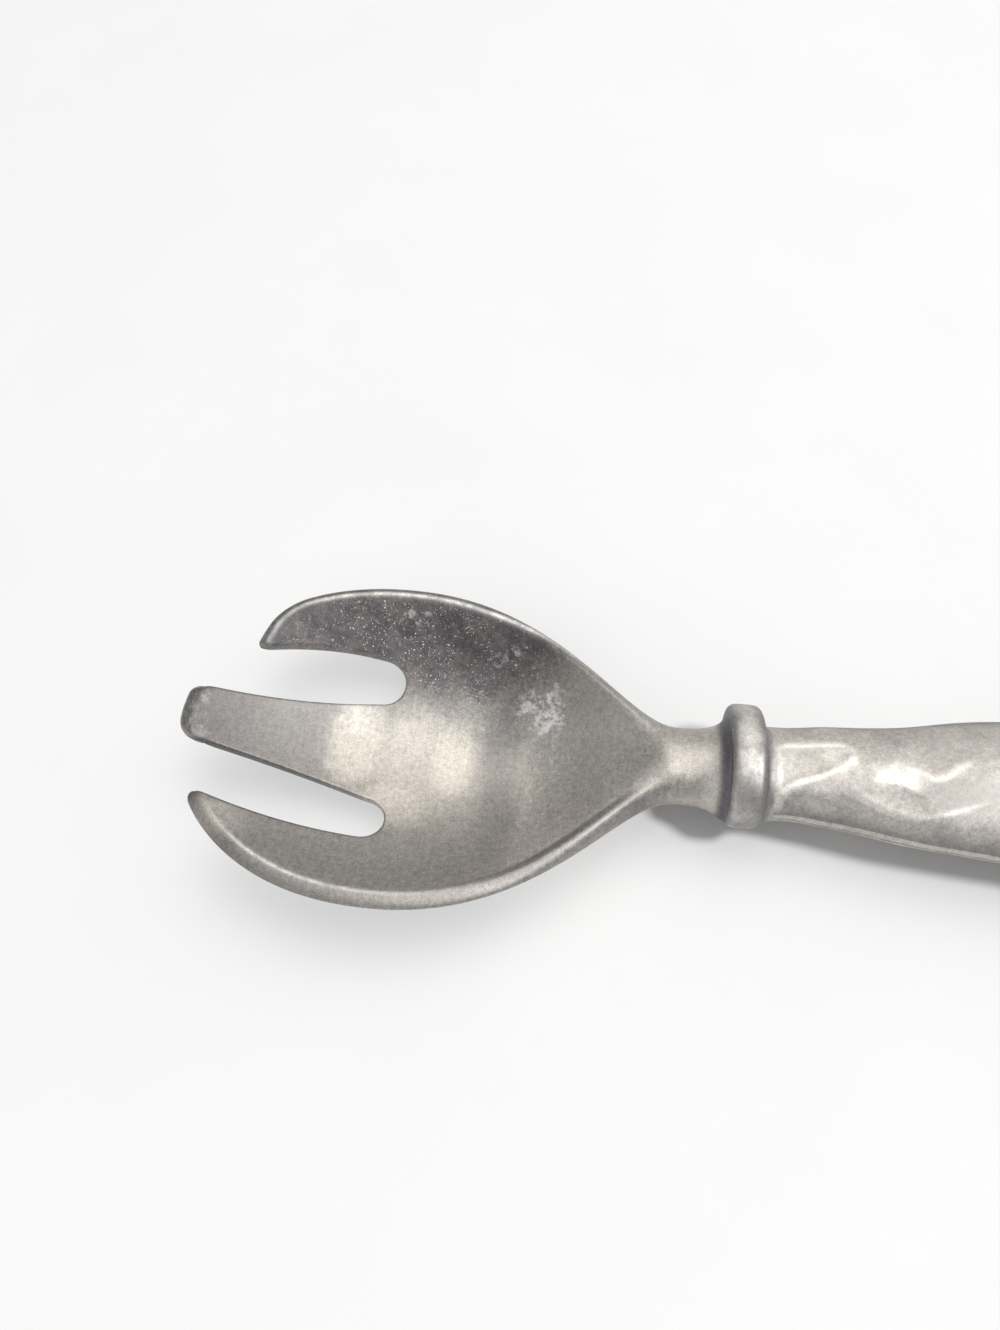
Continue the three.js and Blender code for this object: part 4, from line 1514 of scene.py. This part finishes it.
    specks: tuple[Specks, ...] = (
        Specks(0.31, 0.5, 0.34), Specks(0.5, 0.4, 0.27), Specks(0.9, 0.3, 0.2), Specks(1.6, 0.25, 0.15),
    )
    speck_clouds: Cloud = Cloud(0.2, 3.0, 0.6)
    speck_crowd: Ramp = (0.4, 0.62, 0.35, 1.5)
    speck_field: Spot = Spot(62.0, 18.0, 0.0, 22.0, 11.0, 40.0, 0.7, 0.9, 4.0)
    speck_elsewhere: float = 0.14
    crusts: tuple[Crust, ...] = (
        Crust(35.6, 10.4, 2.8, 3.4, 0.85, 0.42), Crust(38.4, 12.2, 2.8, 2.0, 0.66, 0.45),
        Crust(34.2, 4.2, 1.5, 5.5, 0.4, 0.5), Crust(45.4, 19.7, 2.0, 1.2, 0.35, 0.47),
        Crust(41.8, 21.1, 1.6, 1.0, 0.5, 0.47), Crust(48.6, 12.7, 1.6, 1.6, 0.45, 0.5),
        Crust(62.0, 25.5, 3.0, 1.5, 0.5, 0.5), Crust(83.5, 19.5, 5.0, 1.8, 0.16, 0.5),
        Crust(98.0, 1.0, 2.4, 5.0, 0.3, 0.5),
    )
    crust_thickness: float = 40.0
    crust_soft: float = 0.4
    crust_ragged: float = 1.3
    crust_grain: float = 1.7
    crust_scour: Cloud = Cloud(0.6, 7.0, 0.76)
    crust_edge: float = 0.12

    def _ground(self, s: MetalSketch, reach: Socket, side: Socket) -> Socket:
        """Tone of the metal from the neck to the tips, with painted light on the throat's near side and
        painted shade on its far side.

        Args:
            s: the sketch of the material.
            reach: the place along the head.
            side: the place across it.

        Returns:
            The colour.
        """
        # painted light and shade across the throat: paler on the near side, darker on the far side
        across = s.span(side, *self.throat_light_across, smooth=False)
        colour = s.tint(across, self.throat_near_lit, self.throat_far_shaded)
        colour = s.tint(s.span(reach, *self.throat_to_bowl), colour, self.bowl_dull)
        colour = s.tint(s.span(reach, *self.bowl_to_neck), colour, self.neck_dull)
        colour = s.tint(s.span(reach, *self.bowl_to_tines, smooth=False), colour, self.tine_dull)
        return s.tint(s.span(reach, *self.tines_to_tips), colour, self.tip_dull)

    def _stain(self, s: MetalSketch, reach: Socket, side: Socket) -> Socket:
        """Tarnish of the far side, whose edge runs up towards the neck and towards the slot.

        Args:
            s: the sketch of the material.
            reach: the place along the head.
            side: the place across it.

        Returns:
            The mask, 1 where the metal is darkest.
        """
        corner_reach, corner_side = self.stain_corner
        ahead = s.math("SUBTRACT", reach, corner_reach)
        front = s.math("MINIMUM", s.times(ahead, self.stain_forward), self.stain_forward_most)
        edge = s.most(s.times(ahead, self.stain_back), front)
        above = s.math("SUBTRACT", side, s.math("ADD", edge, corner_side))
        ragged = s.times(s.math("SUBTRACT", s.uneven(self.stain_rags), 0.5), self.stain_ragged)
        flecks = s.times(s.math("SUBTRACT", s.uneven(self.stain_flecks), 0.5), self.stain_flecked)
        stain = s.span(s.math("ADD", above, s.math("ADD", ragged, flecks)), *self.stain_edge)
        return s.times(stain, s.blend(s.cloud(self.stain_clouds), *self.stain_depth))

    def _lip(self, s: MetalSketch, colour: Socket, reach: Socket, side: Socket) -> Socket:
        """Line on the crest of the lip, worn and partly a painted highlight, painted light on its outer rim,
        and the dull metal sheltered under it.

        Args:
            s: the sketch of the material.
            colour: the metal's colour so far.
            reach: the place along the head.
            side: the place across it.

        Returns:
            The colour with the lip's wear.
        """
        crest = s.attribute("crest")
        far = s.span(side, *self.far_side)
        line = s.group(s.effects.line, {
            "Distance": s.math("ADD", crest, s.times(far, s.span(reach, *self.line_shift))),
            "Width": s.span(side, *self.line_width), "Broken": self.line_broken, "Grain": self.line_grain,
        })
        start = s.blend(far, s.span(reach, *self.line_near_start), s.span(reach, *self.line_far_start))
        shown = s.times(start, s.span(reach, *self.line_end))
        line = s.times(line, s.attribute("bowl"), shown, self.line_strength)
        # painted highlight along the worn crest of the lip
        colour = s.tint(line, colour, s.tint(far, self.worn_edge_highlight, self.far_edge_highlight))
        # painted light on the outer rim of the far side and of the tip
        rim_light = s.most(s.span(side, *self.rim_far), s.span(reach, *self.rim_tip))
        colour = s.tint(s.times(s.span(crest, *self.rim), rim_light), colour, self.painted_edge_light)
        along = s.times(s.span(reach, *self.shelter_front), s.span(reach, *self.shelter_back))
        spared = s.times(s.span(crest, *self.shelter), along, s.span(side, *self.shelter_near))
        return s.tint(s.times(spared, self.shelter_strength), colour, self.tarnish)

    def _cuts(self, s: MetalSketch, colour: Socket, reach: Socket, side: Socket) -> Socket:
        """Tone of the slots' edges and walls, with painted light on the far walls.

        Args:
            s: the sketch of the material.
            colour: the metal's colour so far.
            reach: the place along the head.
            side: the place across it.

        Returns:
            The colour with the cuts' edges.
        """
        cut = s.group(s.effects.line, {"Distance": s.attribute("cut"), "Width": self.cut_width,
                                       "Broken": self.cut_broken})
        far = s.span(side, *self.cut_far)
        # tarnish on the near walls, painted light on the far walls
        wall = s.tint(far, self.tarnish, self.painted_edge_light)
        shown = s.blend(far, s.span(reach, *self.cut_near_strength), self.cut_far_strength)
        return s.tint(s.times(cut, s.span(reach, *self.cut_end), shown), colour, wall)

    def _minerals(self, s: MetalSketch, datum: Datum) -> Socket:
        """White mineral specks of the far side and crusts of the bowl.

        Args:
            s: the sketch of the material.
            datum: where the drawing's zero lies.

        Returns:
            The mask, 1 on a deposit.
        """
        crowd = s.span(s.uneven(self.speck_clouds), *self.speck_crowd)
        spots = s.most(0.0, *(
            s.group(s.effects.specks, {"Pitch": layer.pitch, "Amount": s.times(crowd, layer.amount),
                                       "Width": layer.width}) for layer in self.specks))
        deposits = s.times(spots, s.most(s.patch(datum, self.speck_field), self.speck_elsewhere))
        scoured = s.uneven(self.crust_scour)
        for crust in self.crusts:
            spot = Spot(crust.reach, crust.side, 0.0, crust.length, crust.breadth, self.crust_thickness,
                        self.crust_soft, self.crust_ragged, self.crust_grain)
            left = s.span(scoured, crust.worn, crust.worn + self.crust_edge)
            deposits = s.most(deposits, s.times(s.patch(datum, spot), left, crust.strength))
        return deposits

    def make(self, datum: Datum, effects: SharedEffects) -> bpy.types.Material:
        """Builds the material.

        Args:
            datum: where the drawing's zero lies.
            effects: the shared groups.

        Returns:
            The material.
        """
        s = MetalSketch("tarnished_head_metal", effects)
        grain_tone, grain_height = s.pair(effects.grain, {"Size": self.grain_size})
        brush_tone, brush_height = s.pair(effects.grain, {"Size": self.brush_size,
                                                          "Stretch": self.brush_stretch})
        x, side, _ = s.add("ShaderNodeSeparateXYZ", {0: s.place}).outputs
        reach = s.math("SUBTRACT", datum.collar_x, x)

        # polishing from use, which also paints the sheen of the light's reflection
        bright = s.patches(datum, self.polish_and_sheen_spots)
        colour = s.tint(bright, self._ground(s, reach, side), self.polish_and_sheen_tone)
        colour = s.tint(s.patch(datum, self.dimmed), colour, self.bowl_dim)
        colour = s.tint(s.patch(datum, self.smudge), colour, self.tarnish)
        stain = self._stain(s, reach, side)
        stained = s.tint(s.cloud(self.stain_warmth), self.tarnish, self.warm_tarnish)
        colour = s.tint(stain, colour, stained)
        colour = self._lip(s, colour, reach, side)
        colour = self._cuts(s, colour, reach, side)
        shade = s.times(s.contrast(grain_tone, *self.grain_shade), s.contrast(brush_tone, *self.brush_shade))
        mineral = self._minerals(s, datum)
        colour = s.tint(mineral, s.shaded(colour, shade), self.mineral)

        roughness = s.blend(bright, self.dull_roughness, self.smooth_roughness)
        roughness = s.blend(stain, roughness, self.tarnish_roughness)
        roughness = s.math("ADD", roughness, s.contrast(grain_tone, *self.grain_rough))
        roughness = s.blend(mineral, roughness, self.mineral_roughness)
        metallic = s.math("SUBTRACT", 1.0, s.times(mineral, self.mineral_cover))
        return s.finish(colour, roughness, metallic, (grain_height, self.grain_depth),
                        (brush_height, self.brush_depth), (mineral, self.mineral_depth))


@dataclass(frozen=True)
class HammeredMetal:
    """Finish of the handle: dull hammered metal, with burnishing along its ridges and where the hand rubs it
    that also paints highlights, painted shade on its lower flank, and painted shade and a painted reflection
    along the seam.
    """

    dull: Colour = (0.54, 0.515, 0.48)
    cloudy: Colour = (0.37, 0.352, 0.335)
    # burnishing tone that also paints highlights, and the table's painted reflection along the seam
    burnish_and_highlight: Colour = (0.58, 0.56, 0.522)
    # painted highlight on the worn crest of each ridge
    crest_highlight: Colour = (0.72, 0.70, 0.66)
    # painted shade on the lower flank
    flank_shade_tone: Colour = (0.33, 0.315, 0.298)
    # painted shade above the seam
    seam_shade_tone: Colour = (0.16, 0.15, 0.155)
    dull_roughness: float = 0.57
    burnished_roughness: float = 0.4
    grain_size: float = 0.34
    grain_shade: Span = (0.7, 1.3)
    grain_rough: Span = (-0.04, 0.06)
    grain_depth: float = 0.012
    clouds: Cloud = Cloud(0.2, 6.0, 0.64, (0.36, 0.66))
    cloud_depth: float = 0.015
    mottle: Cloud = Cloud(0.95, 6.0, 0.7, (0.4, 0.62))
    mottle_share: float = 0.4
    wear: Cloud = Cloud(0.8, 5.0, 0.66, (0.3, 0.55))

    ridge_height: Span = (0.05, 0.14)
    ridge_burnish: float = 0.6
    # burnishing that also paints highlights, among them the bright blob and the bright line at the handle's
    # mouth
    burnish_and_highlight_spots: tuple[Spot, ...] = (
        Spot(-24.4, -1.5, 5.0, 3.7, 2.4, 20.0, 0.5, 0.7, 2.0),
        Spot(-9.4, 1.2, 5.0, 7.0, 3.0, 20.0, 0.6, 0.6, 2.0, 0.12),
        Spot(-14.6, 1.8, 5.0, 3.0, 2.2, 20.0, 0.6, 0.5, 2.0, 0.9),
        Spot(-38.0, 5.0, 5.0, 6.0, 2.6, 20.0, 0.6, 0.5, 2.0, 0.55),
        Spot(-4.6, -1.5, 5.0, 0.45, 5.5, 20.0, 0.7, 0.4, 1.5, 0.6),
    )
    burnish_worn: Span = (0.55, 1.0)
    # painted shade that dims the lamp's highlight on the lower flank
    flank_shade: Spot = Spot(-34.0, -3.6, 5.0, 7.0, 2.6, 20.0, 0.6, 0.6, 2.0, 0.75)
    # painted highlights at ridge ends that the lamp's highlight misses
    crest_highlight_spots: tuple[Spot, ...] = (
        Spot(-16.9, 2.3, 5.0, 0.8, 1.7, 20.0, 0.6, 0.4, 1.5, 0.7),
        Spot(-4.9, -6.4, 5.0, 0.5, 1.5, 20.0, 0.6, 0.4, 1.5),
    )
    crest_worn: Span = (0.6, 1.0)
    crest_run: Span = (18.0, 21.0)
    crest_strength: Span = (0.9, 0.3)
    # painted shade above the seam, then a painted reflection of the table along the underside's edge
    over_seam: Span = (2.6, 0.1)
    at_seam: Span = (-0.12, 0.06)
    seam_shade_strength: float = 0.62
    strip_top: Span = (-0.06, -0.3)
    strip_foot: Span = (-2.6, -1.4)
    strip_strength: float = 0.35

    def make(self, datum: Datum, effects: SharedEffects) -> bpy.types.Material:
        """Builds the material.

        Args:
            datum: where the drawing's zero lies.
            effects: the shared groups.

        Returns:
            The material.
        """
        s = MetalSketch("hammered_handle_metal", effects)
        grain_tone, grain_height = s.pair(effects.grain, {"Size": self.grain_size})
        clouds = s.cloud(self.clouds)
        worn = s.cloud(self.wear)
        dulled = s.blend(self.mottle_share, clouds, s.cloud(self.mottle))
        colour = s.tint(dulled, self.dull, self.cloudy)
        # painted shade on the lower flank
        colour = s.tint(s.patch(datum, self.flank_shade), colour, self.flank_shade_tone)
        ridge = s.span(s.attribute("ridge"), *self.ridge_height)
        # burnishing on the ridges and in patches, which also paints their highlights
        bright = s.most(s.patches(datum, self.burnish_and_highlight_spots), s.times(ridge, self.ridge_burnish))
        bright = s.times(bright, s.blend(worn, *self.burnish_worn))
        colour = s.tint(bright, colour, self.burnish_and_highlight)
        x = s.add("ShaderNodeSeparateXYZ", {0: s.place}).outputs[0]
        # painted highlights along the crest of each worn ridge, fading along the handle
        crest_fade = s.span(x, *(datum.collar_x + run for run in self.crest_run), *self.crest_strength)
        crest = s.most(s.patches(datum, self.crest_highlight_spots), ridge)
        crest = s.times(crest, s.blend(worn, *self.crest_worn), crest_fade)
        colour = s.tint(crest, colour, self.crest_highlight)
        over = s.attribute("seam")
        # painted shade in a band above the seam
        shadow = s.times(s.span(over, *self.over_seam), s.span(over, *self.at_seam), self.seam_shade_strength)
        colour = s.tint(shadow, colour, self.seam_shade_tone)
        # painted reflection of the table along the underside's edge
        strip = s.times(s.span(over, *self.strip_top), s.span(over, *self.strip_foot), self.strip_strength)
        colour = s.tint(strip, colour, self.burnish_and_highlight)
        colour = s.shaded(colour, s.contrast(grain_tone, *self.grain_shade))
        roughness = s.blend(bright, self.dull_roughness, self.burnished_roughness)
        roughness = s.math("ADD", roughness, s.contrast(grain_tone, *self.grain_rough))
        return s.finish(colour, roughness, 1.0, (grain_height, self.grain_depth), (clouds, self.cloud_depth))


@dataclass(frozen=True)
class CollarMetal:
    """Finish of the collar: worn metal whose worn crown also paints its highlight, painted shade in the two
    fillets beside its band, and the neck's tone where it meets it.
    """

    bright: Colour = (0.45, 0.435, 0.415)
    cloudy: Colour = (0.32, 0.308, 0.295)
    neck_tone: Colour = (0.45, 0.43, 0.40)
    # worn tone that also paints the band's highlight
    worn: Colour = (0.60, 0.58, 0.555)
    # painted shade in the fillets beside the band
    groove_shade_tone: Colour = (0.12, 0.115, 0.13)
    roughness: float = 0.44
    cloud_roughness: float = 0.54
    dull_roughness: float = 0.5
    grain_size: float = 0.3
    grain_shade: Span = (0.7, 1.3)
    grain_depth: float = 0.012
    clouds: Cloud = Cloud(0.25, 6.0, 0.62, (0.36, 0.66))
    cloud_depth: float = 0.01
    neck_reach: Span = (5.0, 5.8)
    # worn crown that also paints the band's highlight, set towards the top where the highlight falls
    crown: Spot = Spot(0.6, 5.2, 7.0, 1.1, 5.0, 40.0, 0.7, 0.6, 1.5, 0.7)
    # painted shade in the fillets on either side of the band
    groove_shade_spots: tuple[Spot, ...] = (
        Spot(4.3, 0.0, 0.0, 1.0, 40.0, 40.0, 0.7, 0.12, 2.0, 0.95),
        Spot(-2.4, 0.0, 0.0, 1.0, 40.0, 40.0, 0.8, 0.12, 2.0, 0.55),
    )

    def make(self, datum: Datum, effects: SharedEffects) -> bpy.types.Material:
        """Builds the material.

        Args:
            datum: where the drawing's zero lies.
            effects: the shared groups.

        Returns:
            The material.
        """
        s = MetalSketch("collar_metal_worn", effects)
        grain_tone, grain_height = s.pair(effects.grain, {"Size": self.grain_size})
        clouds = s.cloud(self.clouds)
        x = s.add("ShaderNodeSeparateXYZ", {0: s.place}).outputs[0]
        neck = s.span(x, *(datum.collar_x - reach for reach in self.neck_reach))
        groove_shade_spots = s.patches(datum, self.groove_shade_spots)
        colour = s.tint(clouds, self.bright, self.cloudy)
        colour = s.tint(neck, colour, self.neck_tone)
        # worn crown and painted highlight
        colour = s.tint(s.patch(datum, self.crown), colour, self.worn)
        # painted shade in the fillets
        colour = s.tint(groove_shade_spots, colour, self.groove_shade_tone)
        colour = s.shaded(colour, s.contrast(grain_tone, *self.grain_shade))
        roughness = s.blend(clouds, self.roughness, self.cloud_roughness)
        roughness = s.blend(s.most(neck, groove_shade_spots), roughness, self.dull_roughness)
        return s.finish(colour, roughness, 1.0, (grain_height, self.grain_depth), (clouds, self.cloud_depth))


@dataclass(frozen=True)
class CastResin:
    """Finish of the filling inside the handle."""

    pale: Colour = (0.37, 0.33, 0.27)
    dark: Colour = (0.26, 0.225, 0.18)
    swirl: Cloud = Cloud(0.3, 5.0, 0.6, (0.35, 0.65))
    swirl_rough: Ramp = (0.3, 0.7, 0.65, 0.85)
    swirl_depth: float = 0.05

    def make(self, effects: SharedEffects) -> bpy.types.Material:
        """Builds the material.

        Args:
            effects: the shared groups.

        Returns:
            The material.
        """
        s = MetalSketch("cast_resin", effects)
        swirl = s.uneven(self.swirl)
        colour = s.tint(s.span(swirl, *self.swirl.spread), self.pale, self.dark)
        return s.finish(colour, s.span(swirl, *self.swirl_rough), 0.0, (swirl, self.swirl_depth))


@dataclass(frozen=True)
class Studio:
    """Pale table, broad light from the far side above, lamps on the handle's side, a darker camera side."""

    table_reach: float = 3.0
    table_roughness: float = 0.75
    table_gloss: float = 0.2
    table_pale: Colour = (0.65, 0.656, 0.66)
    table_shade: Colour = (0.639, 0.645, 0.649)
    backdrop: Colour = (0.93, 0.935, 0.935)
    bright_sky: Colour = (2.4, 2.33, 2.23)
    open_sky: Colour = (1.0, 0.99, 0.985)
    shaded_sky: Colour = (0.36, 0.355, 0.355)
    saddle: float = 0.19
    dark_sky: Colour = (0.36, 0.36, 0.375)
    horizon: Span = (0.04, 0.2)
    bright_way: tuple[float, float, float] = (0.02, 0.40, 0.91)
    bright_edge: float = 0.85
    dark_way: tuple[float, float, float] = (0.06, -0.52, 0.85)
    dark_edge: float = 0.86
    lamp_way: tuple[float, float, float] = (0.493, -0.06, 0.866)
    lamp_aim: tuple[float, float, float] = (-0.03, 0.0, 0.0)
    lamp_distance: float = 3.0
    lamp_size: float = 0.533
    lamp_power: float = 46.0
    table_power: float = 18.8

    def build(self) -> bpy.types.Object:
        """Makes the table, the world and the lamps.

        Returns:
            The table.
        """
        mesh = bpy.data.meshes.new("table")
        corners = [(x * self.table_reach, y * self.table_reach, 0.0)
                   for x, y in ((-1, -1), (1, -1), (1, 1), (-1, 1))]
        mesh.from_pydata(corners, [], [(0, 1, 2, 3)])
        table = bpy.data.objects.new("table", mesh)
        bpy.context.scene.collection.objects.link(table)
        table.data.materials.append(self._table_material())
        self._sky()
        self._lamp("panel", self.lamp_power)
        lit = bpy.data.collections.new("lit_table")
        lit.objects.link(table)
        self._lamp("table_panel", self.table_power).light_linking.receiver_collection = lit
        return table

    def shade_from(self, pieces: list[bpy.types.Object]) -> None:
        """Lets only some pieces throw the lamps' shadow.

        Args:
            pieces: collar and shells, whose shadow on the table has a clear edge.
        """
        thrown = bpy.data.collections.new("shadow_of_handle")
        for piece in pieces:
            thrown.objects.link(piece)
        for name in ("panel", "table_panel"):
            bpy.data.objects[name].light_linking.blocker_collection = thrown

    def _table_material(self) -> bpy.types.Material:
        """Pale matt table top with a barely seen mottle.

        Returns:
            The material.
        """
        material = bpy.data.materials.new("pale_table")
        material.use_nodes = True
        s = Sketch(material.node_tree)
        shader = material.node_tree.nodes["Principled BSDF"]
        place = s.add("ShaderNodeTexCoord").outputs["Object"]
        mottle = s.span(s.noise(place, scale=22.0, detail=4.0, roughness=0.55), 0.3, 0.7)
        s.feed(shader.inputs["Base Color"], s.tint(mottle, self.table_pale, self.table_shade))
        shader.inputs["Roughness"].default_value = self.table_roughness
        shader.inputs["Specular IOR Level"].default_value = self.table_gloss
        return material

    def _sky(self) -> None:
        """Soft light from all round: pale low down, brightest above the far side, dark above the camera."""
        world = bpy.data.worlds.new("studio")
        world.use_nodes = True
        bpy.context.scene.world = world
        s = Sketch(world.node_tree)
        lit = world.node_tree.nodes["Background"]
        way = s.vector("NORMALIZE", s.add("ShaderNodeTexCoord").outputs["Generated"])
        along, across, rise = s.add("ShaderNodeSeparateXYZ", {0: way}).outputs
        corner = s.times(along, across)
        shaded = s.vector("DOT_PRODUCT", way, tuple(Vector(self.dark_way).normalized()))
        toward = s.vector("DOT_PRODUCT", way, tuple(Vector(self.bright_way).normalized()))
        plain = s.tint(s.span(corner, -self.saddle, self.saddle), self.shaded_sky, self.open_sky)
        room = s.tint(s.span(rise, *self.horizon), self.backdrop, plain)
        room = s.tint(s.span(shaded, self.dark_edge, 1.0), room, self.dark_sky)
        s.feed(lit.inputs["Color"], s.tint(s.span(toward, self.bright_edge, 1.0), room, self.bright_sky))
        lit.inputs["Strength"].default_value = 1.0

    def _lamp(self, name: str, power: float) -> bpy.types.Object:
        """Hangs a round lamp above the handle's side.

        Args:
            name: the lamp's name.
            power: its power in watts.

        Returns:
            The lamp.
        """
        panel = bpy.data.lights.new(name, "AREA")
        panel.shape = "DISK"
        panel.size = self.lamp_size
        panel.energy = power
        lamp = bpy.data.objects.new(name, panel)
        bpy.context.scene.collection.objects.link(lamp)
        way = Vector(self.lamp_way).normalized()
        lamp.location = Vector(self.lamp_aim) + way * self.lamp_distance
        lamp.rotation_euler = (-way).to_track_quat("-Z", "Y").to_euler()
        return lamp


@dataclass(frozen=True)
class Viewpoint:
    """Camera at the photograph's viewing angle, as fitted to the part's outline."""

    azimuth: float = 6.291
    elevation: float = 60.664
    roll: float = -0.756
    distance: float = 187.743
    target: tuple[float, float, float] = (-84.163, 17.683, 10.0)
    focal_pixels: float = 1000.0
    sensor: float = 36.0
    nearest: float = 0.005

    def build(self) -> bpy.types.Object:
        """Makes the camera and sets it as the scene's.

        Returns:
            The camera.
        """
        a, e, r = (math.radians(v) for v in (self.azimuth, self.elevation, self.roll))
        back = Vector((math.sin(a) * math.cos(e), -math.cos(a) * math.cos(e), math.sin(e)))
        right = Vector((math.cos(a), math.sin(a), 0.0))
        up = back.cross(right)
        across = math.cos(r) * right + math.sin(r) * up
        above = -math.sin(r) * right + math.cos(r) * up
        place = (Vector(self.target) + back * self.distance) * MM
        data = bpy.data.cameras.new("photo_view")
        data.sensor_width = self.sensor
        data.lens = self.sensor * self.focal_pixels / PHOTO_HEIGHT
        data.clip_start = self.nearest
        camera = bpy.data.objects.new("photo_view", data)
        rows = [(*axes, along) for *axes, along in zip(across, above, back, place)]
        camera.matrix_world = Matrix([*rows, (0.0, 0.0, 0.0, 1.0)])
        bpy.context.scene.collection.objects.link(camera)
        bpy.context.scene.camera = camera
        return camera


def main() -> None:
    """Builds the server in order: light and camera, head, collar, handle, filling."""
    logging.basicConfig(level=logging.INFO, format="%(name)s %(message)s")
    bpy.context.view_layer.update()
    bpy.context.scene.view_settings.view_transform = "Standard"
    effects = SharedEffects()
    datum = Datum.from_frame(MOUTH_RUN)
    studio = Studio()
    studio.build()
    Viewpoint().build()

    head = Head(datum)
    head.dress(head.build(), TarnishedMetal(), effects)

    collar = Collar(datum)
    ring = collar.build(CollarMetal().make(datum, effects))
    collar.dress(ring)

    handle = Handle(datum)
    hammered = HammeredMetal().make(datum, effects)
    mark = handle.mark_group()
    shells = [handle.build(shell, mark, hammered) for shell in Shell]
    for shell, made in zip(Shell, shells):
        handle.dress(made, shell)
    studio.shade_from([ring, *shells])

    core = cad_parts["handle_core"]
    core.data.materials.clear()
    core.data.materials.append(CastResin().make(effects))
    LOG.info("handle_core: carried over with a resin finish")


if __name__ == "__main__":
    main()
